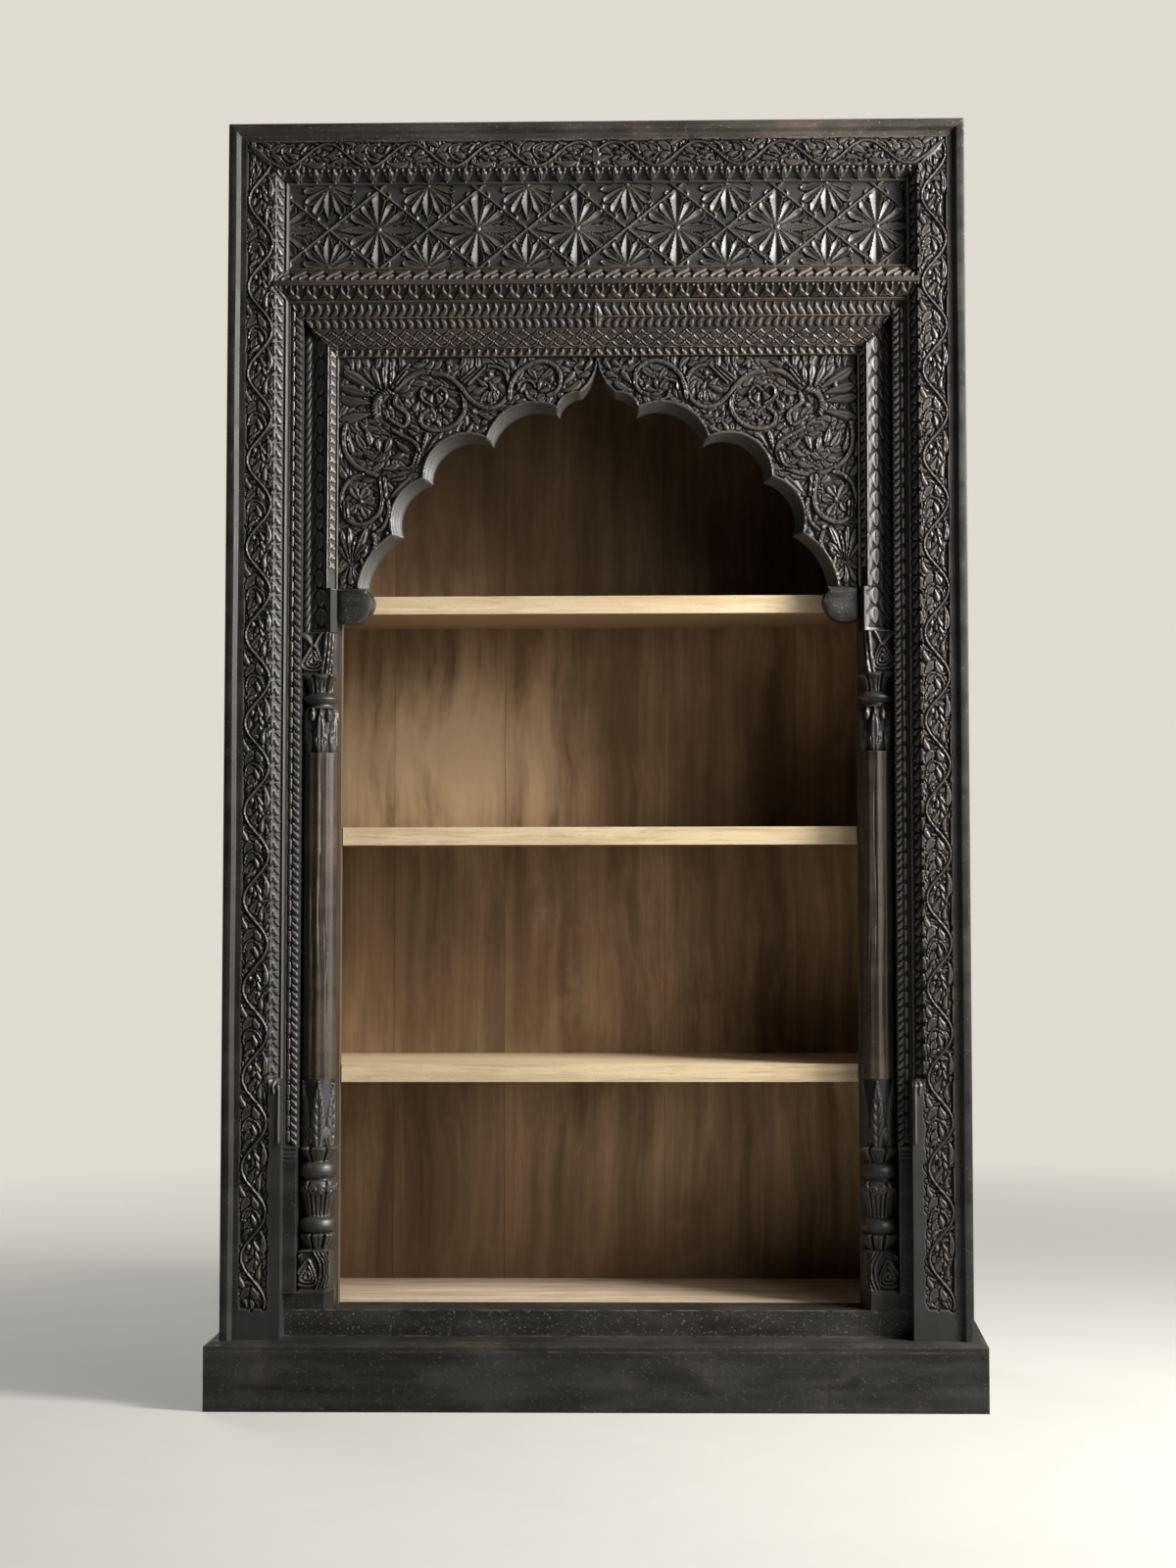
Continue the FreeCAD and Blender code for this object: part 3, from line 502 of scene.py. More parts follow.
wood_grain = wood_grain_group()
edge_wear = edge_wear_group()
rubbed_patches = rubbed_patches_group()
ALONG_X = (3.0, 70.0, 70.0)
ALONG_Z = (70.0, 70.0, 3.0)


def new_material(name, colour):
    material = bpy.data.materials.new(name)
    material.use_nodes = True
    material.diffuse_color = colour
    return material, material.node_tree


def coat(tree, colour, roughness, height, strength, depth, specular=0.5, metallic=0.0):
    """Join a material's colour, roughness and fine relief to its surface."""
    bump = put(tree, "ShaderNodeBump", {"Height": height, "Strength": strength, "Distance": depth})
    surface = tree.nodes["Principled BSDF"].inputs
    surface["Specular IOR Level"].default_value = specular
    surface["Metallic"].default_value = metallic
    for label, value in (("Base Color", colour), ("Roughness", roughness), ("Normal", bump.outputs[0])):
        tree.links.new(value, surface[label])


def carved_wood(name, stretch, hollow, face, worn, wear=0.5):
    """Ebonised carving: dull and painted near black in its hollows as painted shade, waxed on its faces,
    rubbed to brown on its crests.
    """
    material, tree = new_material(name, face)
    layers = [put(tree, "ShaderNodeAttribute", attribute_name=label) for label in LAYERS]
    relief, crest = (layer.outputs["Fac"] for layer in layers)
    grain = use_group(tree, wood_grain, stretch=stretch, wander=0.8)
    rubbed = use_group(tree, rubbed_patches, size=11.0, share=wear)
    faces = mixed(tree, between(tree, grain["Streaks"], 0.35, 0.7), face, toned(face, 0.62))
    # The hollows take the hollow colour: painted shade in the recesses.
    hollow_shaded = mixed(tree, between(tree, relief, 0.15, 0.75), hollow, faces)
    broken = between(tree, rubbed["Smears"], 0.38, 0.6, 0.25, 1.0)
    edge = times(tree, between(tree, crest, 0.56, 0.86), broken)
    browned_and_shaded = mixed(tree, times(tree, edge, 0.75), hollow_shaded, worn)
    high_patches = times(tree, rubbed["Patches"], between(tree, relief, 0.4, 0.9, 0.0, 0.7))
    patchy = mixed(tree, high_patches, browned_and_shaded, worn)
    dull = between(tree, relief, 0.1, 0.8, 0.7, 0.42)
    varied = sum_up(tree, "ADD", dull, between(tree, rubbed["Smears"], 0.3, 0.7, -0.07, 0.09))
    coat(tree, patchy, varied, grain["Streaks"], 0.35, 0.0008, specular=0.7)
    return material


def plain_dark_wood(name, stretch, face, worn, wear=0.5, patch=7.0):
    """Black-brown boards: streaked stain, rubbed edges, worn patches and knocks."""
    material, tree = new_material(name, face)
    grain = use_group(tree, wood_grain, stretch=stretch, wander=0.7)
    edge = use_group(tree, edge_wear, reach=0.004, break_up=45.0)
    rubbed = use_group(tree, rubbed_patches, size=patch, share=wear)
    stained = mixed(tree, between(tree, grain["Streaks"], 0.32, 0.7), face, toned(face, 0.5))
    cloudy = mixed(tree, between(tree, rubbed["Smears"], 0.42, 0.66, 0.0, 0.5), stained, toned(face, 1.7))
    patchy = mixed(tree, times(tree, rubbed["Patches"], 0.75), cloudy, worn)
    edged = mixed(tree, times(tree, edge["Mask"], 0.85), patchy, worn)
    knocked = mixed(tree, times(tree, rubbed["Knocks"], 0.35), edged, toned(worn, 1.6))
    varied = between(tree, rubbed["Smears"], 0.3, 0.7, 0.34, 0.56)
    dented = sum_up(tree, "SUBTRACT", grain["Streaks"], times(tree, rubbed["Knocks"], 0.6))
    coat(tree, knocked, varied, dented, 0.4, 0.0008, specular=0.35)
    return material


def bare_wood(name, stretch, light, dark, roughness, wear=0.3, under=None):
    """Uncarved inner wood with its grain showing, a little soiled along its edges, and darker on faces that
    look down as painted shade.
    """
    material, tree = new_material(name, light)
    grain = use_group(tree, wood_grain, stretch=stretch, wander=1.4)
    edge = use_group(tree, edge_wear, reach=0.003, break_up=70.0)
    rubbed = use_group(tree, rubbed_patches, size=5.0, share=wear)
    grained = mixed(tree, between(tree, grain["Streaks"], 0.36, 0.66), light, dark)
    drifted = mixed(tree, between(tree, grain["Drift"], 0.35, 0.7, 0.0, 0.45), grained, toned(light, 0.72))
    specks = sum_up(tree, "MAXIMUM", grain["Pores"], rubbed["Knocks"])
    pored = mixed(tree, times(tree, specks, 0.4), drifted, toned(dark, 0.6))
    soiled = mixed(tree, times(tree, rubbed["Patches"], 0.5), pored, toned(dark, 0.55))
    edged = mixed(tree, times(tree, edge["Mask"], 0.5), soiled, toned(light, 0.8))
    # Faces that look down take the underside colour: painted shade.
    browned_and_shaded = mixed(tree, between(tree, facing(tree, "Z"), -0.4, -0.8), edged, under or dark)
    varied = between(tree, grain["Streaks"], 0.3, 0.7, roughness - 0.08, roughness + 0.1)
    coat(tree, browned_and_shaded, varied, grain["Streaks"], 0.3, 0.0007)
    return material


def nail_iron():
    material, tree = new_material("nail iron", shade(0.1, 0.09, 0.085))
    rubbed = use_group(tree, rubbed_patches, size=90.0, share=0.6)
    rusted = mixed(tree, rubbed["Patches"], shade(0.09, 0.085, 0.08), shade(0.16, 0.07, 0.035))
    dull = between(tree, rubbed["Patches"], 0.0, 1.0, 0.45, 0.85)
    coat(tree, rusted, dull, rubbed["Smears"], 0.4, 0.0005, metallic=0.6)
    return material


PLANK_STAIN = shade(0.25, 0.155, 0.08)
PLANK_LIGHT = shade(0.50, 0.325, 0.18)
PLANK_DARK = shade(0.125, 0.073, 0.036)
SCUFFED = shade(0.5, 0.37, 0.24)
# Colours laid over the stain: a painted pool of light, painted shade high up under the arch and painted shade
# low down at the foot.
PAINTED_LIGHT_POOL = shade(0.62, 0.46, 0.28)
PAINTED_ARCH_SHADE = shade(0.058, 0.031, 0.014)
PAINTED_FOOT_SHADE = shade(0.09, 0.044, 0.02)
# Tone of each plank: the first three differ at random; planks 4 and 5 are raised as painted light, lifting
# the shaded right of the back.
PLANK_TONES_AND_PAINTED_FILL = (1.0, 0.92, 1.08, 1.1, 1.4)
# Middle and spread of the painted pool of light.
LIGHT_POOL_MIDDLE, LIGHT_POOL_SCALE = (-0.29, 0.0, 1.09), (4.2, 0.0, 5.6)


def stained_plank(number, tint):
    """Blotchy brown stain in upright smears, with a painted pool of light in one place, painted shade high up
    under the arch and painted shade low down at the foot.
    """
    material, tree = new_material(f"stained plank {number}", toned(PLANK_STAIN, tint))
    bands = use_group(tree, wood_grain, stretch=(11.0 + number, 9.0, 0.8), wander=0.7)
    smears = use_group(tree, wood_grain, stretch=(21.0 - number, 9.0, 2.2), wander=1.5)
    grain = use_group(tree, wood_grain, stretch=(90.0, 60.0, 2.0), wander=0.5)
    rubbed = use_group(tree, rubbed_patches, size=4.0 + 0.4 * number, share=0.3)
    dark = toned(PLANK_DARK, tint)
    banded = mixed(tree, between(tree, bands["Streaks"], 0.3, 0.7), toned(PLANK_LIGHT, tint), dark)
    smeared = mixed(tree, between(tree, smears["Streaks"], 0.46, 0.66, 0.0, 0.72), banded, dark)
    grained = mixed(tree, between(tree, grain["Streaks"], 0.4, 0.75, 0.0, 0.28), smeared, dark)
    clouded = mixed(tree, between(tree, bands["Drift"], 0.44, 0.62, 0.0, 0.5), grained, dark)
    colour = mixed(tree, times(tree, rubbed["Patches"], 0.45), clouded, SCUFFED)
    place = own_place(tree)
    aside = vector(tree, "SUBTRACT", place, LIGHT_POOL_MIDDLE)
    away = length(tree, vector(tree, "MULTIPLY", aside, LIGHT_POOL_SCALE))
    ragged = sum_up(tree, "ADD", away, between(tree, smears["Streaks"], 0.3, 0.7, -0.4, 0.4))
    height = part_of(tree, place, "Z")
    inner = between(tree, facing(tree, "Y"), 0.2, -0.2)
    # Painted pool of light, painted shade high up and painted shade low down, on the inner face.
    for share, tone in ((between(tree, ragged, 1.1, 0.3, 0.0, 0.6), PAINTED_LIGHT_POOL),
                        (between(tree, height, 1.27, 1.44, 0.0, 0.62), PAINTED_ARCH_SHADE),
                        (between(tree, height, 0.38, 0.16, 0.0, 0.62), PAINTED_FOOT_SHADE)):
        colour = mixed(tree, times(tree, inner, share), colour, tone)
    varied = between(tree, grain["Streaks"], 0.3, 0.7, 0.5, 0.68)
    coat(tree, colour, varied, grain["Streaks"], 0.3, 0.0007, specular=0.3)
    return material


# Near-black colour of the carvings' hollows: painted shade in the recesses.
PAINTED_HOLLOW_SHADE = shade(0.005, 0.0044, 0.004)
EBONY = shade(0.040, 0.0368, 0.0323)
RUBBED_BROWN = shade(0.095, 0.076, 0.058)
SAWN_LIGHT, SAWN_DARK = shade(0.42, 0.32, 0.21), shade(0.30, 0.21, 0.13)

upright_carving = carved_wood("upright carving", ALONG_Z, PAINTED_HOLLOW_SHADE, EBONY, RUBBED_BROWN)
level_carving = carved_wood("level carving", ALONG_X, PAINTED_HOLLOW_SHADE, EBONY, RUBBED_BROWN)
# Its first colour is the painted shade of its hollows.
browned_carving = carved_wood("browned carving", ALONG_X, shade(0.007, 0.005, 0.0035),
                              shade(0.043, 0.035, 0.0265), shade(0.125, 0.085, 0.055), 0.7)
# Paler face and crest colours on the posts: partly rubbed wear, partly a painted highlight standing in for
# the strong light on the plaits.
post_carving_with_painted_sheen = carved_wood("rubbed post carving with painted sheen", ALONG_Z, PAINTED_HOLLOW_SHADE, shade(0.055, 0.05, 0.0435),
                           shade(0.27, 0.23, 0.185), 0.7)
shaft_wood = plain_dark_wood("shaft wood", ALONG_Z, shade(0.046, 0.035, 0.027), shade(0.13, 0.09, 0.06), 0.8)
upright_boards = plain_dark_wood("upright dark boards", ALONG_Z, shade(0.026, 0.0245, 0.022),
                                 RUBBED_BROWN, 0.35)
level_boards = plain_dark_wood("level dark boards", ALONG_X, shade(0.030, 0.0285, 0.0255), RUBBED_BROWN)
worn_sill = plain_dark_wood("worn sill", ALONG_X, shade(0.033, 0.031, 0.027),
                            shade(0.27, 0.23, 0.18), 0.45, 130.0)
top_edge_wood = plain_dark_wood("worn top edge", ALONG_X, shade(0.042, 0.038, 0.033),
                                shade(0.20, 0.14, 0.09), 0.8)
# The last colour of the shelves is the painted shade of their undersides.
pale_shelves = bare_wood("pale shelf wood", ALONG_X, shade(0.80, 0.65, 0.42), shade(0.58, 0.42, 0.24),
                         0.55, 0.55, shade(0.30, 0.20, 0.11))
floor_wood = bare_wood("floor board wood", ALONG_X, shade(0.84, 0.69, 0.51), shade(0.46, 0.34, 0.22),
                       0.6, 0.8)
sawn_wood = bare_wood("bare sawn wood", ALONG_X, SAWN_LIGHT, SAWN_DARK, 0.75)
upright_sawn_wood = bare_wood("bare upright wood", ALONG_Z, SAWN_LIGHT, SAWN_DARK, 0.75)
liner_wood = bare_wood("liner wood", ALONG_Z, shade(0.15, 0.105, 0.068), shade(0.085, 0.057, 0.036), 0.55)
plank_woods = [stained_plank(number, tint) for number, tint in enumerate(PLANK_TONES_AND_PAINTED_FILL, 1)]


def named(word, node, side):
    """Names of a piece at one side and of the solid it stands for."""
    node = f"{node}_{SIDE_NAMES[side]}"
    return f"{word}_{node}", node


# Vine of the outer frame


BAND_WIDTH = BAND_OUT - BAND_IN
BEVEL_SLANT = hypot(BAND_IN - STILE_IN, BEVEL_BACK - BAND_DEPTH)
BEVEL_EDGE = BAND_WIDTH + BEVEL_SLANT
# Carving on a bevel of 45 degrees moves inward by this share of its height.
BEVEL_LEAN = 0.7071
FRAME_ACROSS = places(0, BEVEL_EDGE, 1.45, BAND_WIDTH)
VINE_WAVE = 146.5
VINE_FIRST = 2002.0
VINE_END = 161.0
VINE_GROUND = -6.0
VINE_MARGINS = (2.4, BAND_WIDTH - 1.6)
STEM_MIDDLE, STEM_SWING, STEM_RADIUS = 24.0, 20.0, 2.4
# Leaves of one wave of the vine, from the stem's outer turn: stalk and tip (across, up), half width, bend,
# hollow and rib.
VINE_LEAVES = (
    (13.0, 25.0, 16.5, 12.0, 3.3, 0.0, 0.0, 0.0),
    (22.0, 18.5, 21.0, 3.0, 3.0, 0.1, 0.0, 0.0),
    (14.0, 5.0, 6.5, -8.5, 3.8, 0.0, 2.0, 0.0),
    (26.0, 2.0, 13.0, -23.0, 5.2, 0.08, 0.0, 1.4),
    (29.5, -3.0, 35.5, -25.5, 4.2, -0.1, 0.0, 0.0),
    (36.0, 44.0, 38.5, 5.0, 3.8, 0.1, 0.0, 1.3),
    (26.0, 27.0, 33.5, 10.0, 3.0, -0.1, 0.0, 0.0),
    (29.0, 14.0, 33.5, -3.0, 2.5, -0.1, 0.0, 0.0),
    (40.0, -6.0, 34.5, -36.0, 2.8, -0.15, 0.0, 0.8),
    (2.5, -25.0, 10.5, -49.0, 3.2, -0.15, 0.0, 1.0),
    (4.0, -71.0, 18.0, -51.0, 4.6, 0.1, 2.6, 0.0),
    (7.5, -87.0, 18.5, -74.0, 4.2, 0.1, 2.6, 0.0),
    (8.0, -107.0, 16.5, -88.0, 3.9, 0.0, 2.6, 0.0),
    (23.0, -46.0, 31.5, -66.0, 4.8, -0.1, 0.0, 1.4),
    (21.0, -75.0, 26.5, -95.0, 3.4, 0.0, 0.0, 0.0),
    (6.5, -114.0, 18.0, -103.0, 2.6, 0.1, 0.0, 0.0),
)
VINE_BEADS = ((24.6, -24.0, 2.8), (29.5, -31.0, 2.5), (19.7, -102.0, 2.8))
VINE_CURLS = (
    ((19.7, -68.0), (13.0, -68.0), (7.4, -74.5), (4.5, -87.0)),
    ((23.0, -69.5), (29.5, -74.5), (34.5, -84.5), (33.0, -95.0), (28.0, -100.0)),
)


def fill_with_leaflets(board, stems, area, step, sizes, top):
    """Small overlapping leaves all over the ground of an area, each leaning away from the nearest stem."""
    (low, high), (left, right) = area
    points = np.vstack([line[:-1] for line in stems])
    runs = np.vstack([line[1:] - line[:-1] for line in stems])
    runs = runs / np.maximum(np.linalg.norm(runs, axis=1, keepdims=True), 1e-6)
    for along in np.arange(low, high, step):
        for across in np.arange(left, right, step):
            place = np.array([along, across]) + draw.uniform(-0.25, 0.25, 2) * step
            turn = draw.uniform(0.3, 0.9)
            size = draw.uniform(*sizes)
            offsets = place - points
            nearest = np.argmin((offsets ** 2).sum(axis=1))
            run = runs[nearest]
            turn *= np.sign(run[0] * offsets[nearest][1] - run[1] * offsets[nearest][0])
            aim = np.array([run[0] * cos(turn) - run[1] * sin(turn), run[0] * sin(turn) + run[1] * cos(turn)])
            reach = size * aim
            board.leaf(place - reach, place + reach, 0.42 * size, top, 0.14, rib=1.3, apart=1.2)


def carve_vine(board, turns, wave, low, high, across):
    """A waving stem with flowers and leaves in its bays; across turns a place across the band into v."""
    scale = wave / VINE_WAVE
    steps = np.arange(low, high, 4.0)
    middle = STEM_MIDDLE - STEM_SWING * np.cos(2 * pi * (steps - turns[0]) / wave)
    stem = np.stack([steps, across(middle)], -1)
    fill_with_leaflets(board, [stem], ((low + 8, high), (6.5, 44)), 11.0, (9.5, 12.5), -1.8)
    hand = 1 if across(1) > across(0) else -1

    def spot(turn, over, up):
        return (turn + up * scale, across(over))

    for turn in turns:
        shift = draw.uniform(-1.0, 1.0, (len(VINE_LEAVES), 4))
        size = draw.uniform(0.92, 1.12, len(VINE_LEAVES))
        for (x0, y0, x1, y1, half, bend, hollow, rib), (a, b, c, d), grow in zip(VINE_LEAVES, shift, size):
            start = spot(turn, x0 + a, y0 + b)
            end = spot(turn, x1 + c, y1 + d)
            if min(start[0], end[0]) < low or max(start[0], end[0]) > high:
                continue
            board.leaf(start, end, 1.7 * half * grow, 0.4 * a, -hand * bend, "drop", hollow, rib, 0.9)
        for over, up, radius in VINE_BEADS:
            if low < turn + up * scale < high:
                board.bead(spot(turn, over, up), radius, -0.4)
        for curl in VINE_CURLS:
            line = smooth([spot(turn, over, up) for over, up in curl], 4)
            if line[:, 0].min() > low and line[:, 0].max() < high:
                board.stem(line, 2.1, -0.4, 1.6, 0.8)
    board.stem(stem, STEM_RADIUS, 0.4, apart=1.2)


def frame_face(board, share=1.0):
    """How far in from the band's outer edge a frame member lies, how far its carving leans, and its depth."""
    past = np.maximum(board.v - BAND_WIDTH, 0)
    inward = np.minimum(board.v, BAND_WIDTH) + past * ((BAND_IN - STILE_IN) / BEVEL_SLANT)
    deep = past * (BEVEL_BACK - BAND_DEPTH) / BEVEL_SLANT
    lean = np.where(board.across > BAND_WIDTH, share * BEVEL_LEAN, 0.0)
    return inward, lean * board.height, BAND_DEPTH + deep * share - np.sqrt(1 - lean ** 2) * board.height


BRAID_UNIT, BRAID_GROUND, BRAID_FILLET = 28.5, -4.4, 5.0
# How far the plain faces are waxed, as shares of the carving's wax; a lower share also darkens a face toward
# the painted hollow shade.
STILE_FOOT_POLISH, STILE_FILLET_POLISH, FRIEZE_GROUND_WAX_AND_SHADE, RIDGE_POLISH = 0.42, 0.35, 0.45, 0.7
BEAD_FILLET_POLISH, POST_FOOT_POLISH = 0.5, 0.15
# The hook over a stile's plain foot: up from the bevel's stop and in from its edge.
FOOT_HOOK = ((-98, -6), (-40, -6), (-12, -6), (4, -11), (-4, -18), (-18, -17))


def carve_braid(board, low):
    """Plait on the stiles' inner bevel: a column of lozenges beside slanted leaves, and a plain fillet."""
    board.lay(BAND_WIDTH, BEVEL_EDGE - BRAID_FILLET, BRAID_GROUND, low)
    edge = BAND_WIDTH + 1.0
    for place in np.arange(low + 6.0, BAND_TOP, BRAID_UNIT):
        board.leaf((place + 2, edge + 4.0), (place + 25, edge + 4.0), 3.6, 0.2, form="oval")
        board.leaf((place + 22, edge + 8.0), (place + 3, edge + 21.0), 5.0, 0.3, 0.12, rib=0.8)
        board.leaf((place + 26, edge + 11.0), (place + 17, edge + 22.0), 3.2, 0.0, -0.1)
        board.bead((place + 8.5, edge + 11.0), 3.4, -0.6)
        board.leaf((place + 14, edge + 6.0), (place + 1, edge + 14.0), 2.6, -0.2, -0.2)


def carve_stile(side):
    """Vine on the band and plait on the bevel, which dies out above a plain foot."""
    board = Carving(places(PLINTH_TOP, BAND_TOP, PITCH), FRAME_ACROSS)
    board.lay(*VINE_MARGINS, VINE_GROUND, VINE_END)

    def across(over):
        return over if side == LEFT else BAND_WIDTH - over

    carve_vine(board, VINE_FIRST - VINE_WAVE * np.arange(14), VINE_WAVE, VINE_END, BAND_TOP, across)
    board.leaf((BAND_TOP - 3, 3.0), (BAND_LOW + 2, BAND_WIDTH - 2), 7.0, 0.5, form="blade", rib=1.2)
    carve_braid(board, BEVEL_STOP + 4)
    board.polish_and_shade[board.across > BEVEL_EDGE - BRAID_FILLET] = STILE_FILLET_POLISH
    foot = (board.across > VINE_MARGINS[1]) & (board.along < BEVEL_STOP - 4)
    board.polish_and_shade[foot | (board.along < VINE_END)] = STILE_FOOT_POLISH
    hook = smooth([(BEVEL_STOP + up, BEVEL_EDGE + over) for up, over in FOOT_HOOK])
    board.stem(hook, 4.2, 2.2, 3.2, low=-1.0)
    board.polish_and_shade[(board.height > 0.4) & foot] = 1.0
    bevel_share = np.clip((board.along - BEVEL_STOP + 6) / 12, 0, 1)
    inward, leaning, depth = frame_face(board, bevel_share)
    x = BAND_OUT - inward - leaning
    z = np.minimum(board.along, BAND_TOP - (BAND_OUT - np.clip(x, STILE_IN, BAND_OUT)))
    carved_board(*named("carved", "stile", side), world(side * x, depth, z), board, VINE_GROUND, 0.0,
                 FRAME_BACK, upright_carving)


TOP_WAVE = 141.0
TOP_TURNS = 170.5 + TOP_WAVE * np.arange(-1, 4)
SCALLOP = 31.5


def carve_top_rail():
    """Vine mirrored about the middle, over a bevel of upright buds."""
    board = Carving(places(0, BAND_OUT, PITCH), FRAME_ACROSS)
    board.lay(*VINE_MARGINS, VINE_GROUND)
    carve_vine(board, TOP_TURNS, TOP_WAVE, 2.0, BAND_OUT, lambda over: over)
    for start, end in (((2, 44), (2, 10)), ((BAND_OUT - 3, 3.0), (BAND_IN + 2, BAND_WIDTH - 2))):
        board.leaf(start, end, 7.0, 0.5, form="blade", rib=1.2)
    edge = BEVEL_EDGE
    board.lay(BAND_WIDTH + 2.0, edge - 1.5, BRAID_GROUND)
    for place in np.arange(0, BAND_OUT, SCALLOP):
        board.leaf((place, edge - 2), (place, BAND_WIDTH + 3), 6.4, 0.4, form="blade", rib=1.2)
        for hand in (-1, 1):
            board.leaf((place + hand * 5.5, edge - 2.5), (place + hand * 11.5, BAND_WIDTH + 11), 3.2,
                       0.0, -hand * 0.16, hollow=1.4)
            board.bead((place + hand * 10.5, BAND_WIDTH + 7), 2.8, -0.3)
    board = board.mirrored()
    down, leaning, depth = frame_face(board)
    z = BAND_TOP - down - leaning
    half = BAND_OUT - (BAND_TOP - np.clip(z, TOP_RAIL_LOW, BAND_TOP))
    x = np.clip(board.along, -half, half)
    carved_board("carved_top_rail", "top_rail", world(x, depth, z), board, VINE_GROUND, 0.0, FRAME_BACK,
                 level_carving)


RIM_OUT, RIM_TOP, RIM_PITCH = 616.0, 2130.0, 16.0
# Section of the rim: a flat, a short slope and a narrow sunk margin, with eased edges.
RIM_ACROSS = np.array([0.0, 0.5, 1.4, 12.6, 13.5, 14.2, 18.6, 19.3, 20.0, 21.0, RIM_OUT - BAND_OUT])
RIM_DEPTH = np.array([1.4, 0.4, 0.0, 0.0, 0.2, 0.9, 7.0, 7.8, BAND_DEPTH, BAND_DEPTH, BAND_DEPTH])


def plane_rim(side):
    """Upright rim, a little uneven from the plane and mitred at the top."""
    board = Carving(places(PLINTH_TOP, RIM_TOP, RIM_PITCH), RIM_ACROSS)
    wavy = 0.35 * np.sin(board.along / 83.0) * (board.across > 2) * (board.across < 21)
    x = RIM_OUT - board.across + wavy
    z = np.minimum(board.along, RIM_TOP - board.across)
    depth = np.interp(board.across, RIM_ACROSS, RIM_DEPTH)
    carved_board(*named("planed", "rim", side), world(side * x, depth, z), board, -1.0, 0.0, FRAME_BACK,
                 upright_boards, slot=PLAIN)


def plane_top_rim():
    """Top rim, mitred at both ends."""
    board = Carving(places(-RIM_OUT, RIM_OUT, RIM_PITCH), RIM_ACROSS)
    half = RIM_OUT - board.across
    x = np.clip(board.along, -half, half)
    depth = np.interp(board.across, RIM_ACROSS, RIM_DEPTH)
    carved_board("planed_rim_top", "rim_top", world(x, depth, RIM_TOP - board.across), board, -1.0, 0.0,
                 FRAME_BACK, top_edge_wood, slot=PLAIN)


# Frieze and the two members under it


ROSETTE_FIRST, ROSETTE_PITCH, ROSETTE_LEVEL = -368.7, 167.8, 1957.0
LATTICE_HALF, LATTICE_RISE = ROSETTE_PITCH / 2, 67.5
FRIEZE_GROUND, FRIEZE_GAP, CHIP_SLOPE = -3.4, -7.5, 0.5
PETAL_GAP = 2.4
HEART_RADIUS = 6.5


def cut_flower(board, heart, petals):
    """Chip-cut petals round a heart with gaps between; each has an angle, a reach, a spread and a form."""
    cuts = []
    for angle, reach, spread, form in petals:
        aim = np.array([cos(angle), sin(angle)])
        half = spread * (HEART_RADIUS + PETAL_WIDEST * (reach - HEART_RADIUS)) - 1.5
        cuts.append((heart + (HEART_RADIUS - 1) * aim, heart + reach * aim, half, form))
    for start, end, half, form in cuts:
        board.clear(start, end, half + PETAL_GAP, FRIEZE_GAP, form)
    for start, end, half, form in cuts:
        board.chip(start, end, half, 0.3, CHIP_SLOPE, form)


def carve_frieze():
    """Rosettes of chip-cut petals in a lattice of thin twigs, with half flowers in the triangles between."""
    levels = places(FRIEZE_LOW, TOP_RAIL_LOW, PITCH)
    board = Carving(places(-STILE_IN, STILE_IN, PITCH), levels, FRIEZE_GROUND)
    slope = LATTICE_RISE / LATTICE_HALF
    for number in range(-1, 7):
        heart = np.array([ROSETTE_FIRST + ROSETTE_PITCH * number, ROSETTE_LEVEL])
        petals = []
        for step in range(12):
            angle = radians(30 * step)
            reach = 1 / (abs(cos(angle)) / LATTICE_HALF + abs(sin(angle)) / LATTICE_RISE) - 2.5
            petal = (angle, reach, 0.268, "petal")
            slim_petal = (angle, 0.86 * reach, 0.16, "blade")
            petals.append(petal if step % 6 else slim_petal)
        cut_flower(board, heart, petals)
        board.bead(heart, HEART_RADIUS + 0.6, 2.2, FRIEZE_GROUND - 3)
        for foot, hand in ((TOP_RAIL_LOW - 1, -1), (FRIEZE_LOW + 1, 1)):
            heart = np.array([ROSETTE_FIRST + LATTICE_HALF + ROSETTE_PITCH * number, foot])
            petals = []
            for turn in range(-78, 79, 26):
                angle = radians(turn)
                reach = abs(foot - ROSETTE_LEVEL) / (cos(angle) + sin(abs(angle)) * slope) - 4
                reach = min(reach, 60 - 0.2 * abs(turn))
                petals.append((hand * (pi / 2 - angle), reach, 0.235, "petal" if turn else "blade"))
            cut_flower(board, heart, petals)
            board.bead(heart, HEART_RADIUS, 1.6, FRIEZE_GROUND - 2)
    for number in range(-2, 7):
        knot = np.array([ROSETTE_FIRST + ROSETTE_PITCH * number + LATTICE_HALF, ROSETTE_LEVEL])
        for hand in (-1, 1):
            arm = np.array([LATTICE_HALF, hand * LATTICE_RISE])
            run = arm / np.linalg.norm(arm)
            aside = np.array([-run[1], run[0]])
            board.stem(knot + np.linspace(-1.15, 1.15, 25)[:, None] * arm, 2.2, 0.6, apart=1.2)
            for share in (-0.8, -0.5, -0.24, 0.24, 0.5, 0.8):
                for reach in (-6.5, 6.5):
                    start = knot + share * arm
                    tip = start + 6 * np.sign(share) * run + reach * aside
                    board.stem(curve(start, tip, 0.3 * np.sign(share * reach), 5), 1.6, -0.6)
    # The frieze's sunk ground is dulled and darkened toward the painted hollow shade.
    board.polish_and_shade[np.abs(board.height - FRIEZE_GROUND) < 0.05] = FRIEZE_GROUND_WAX_AND_SHADE
    front = world(board.along, FRIEZE_DEPTH - board.height, board.across)
    carved_board("carved_frieze", "frieze_panel", front, board, -10.0, 0.3, FRIEZE_BACK, level_carving)


RIDGE_SLANT = hypot(FRIEZE_LOW - RIDGE_HIGH, BEVEL_BACK - BAND_DEPTH)
RIDGE_FLAT = RIDGE_HIGH - RIDGE_LOW
RIDGE_GROUND = -3.4
UPPER_UNIT, LOWER_UNIT = 29.3, 28.5


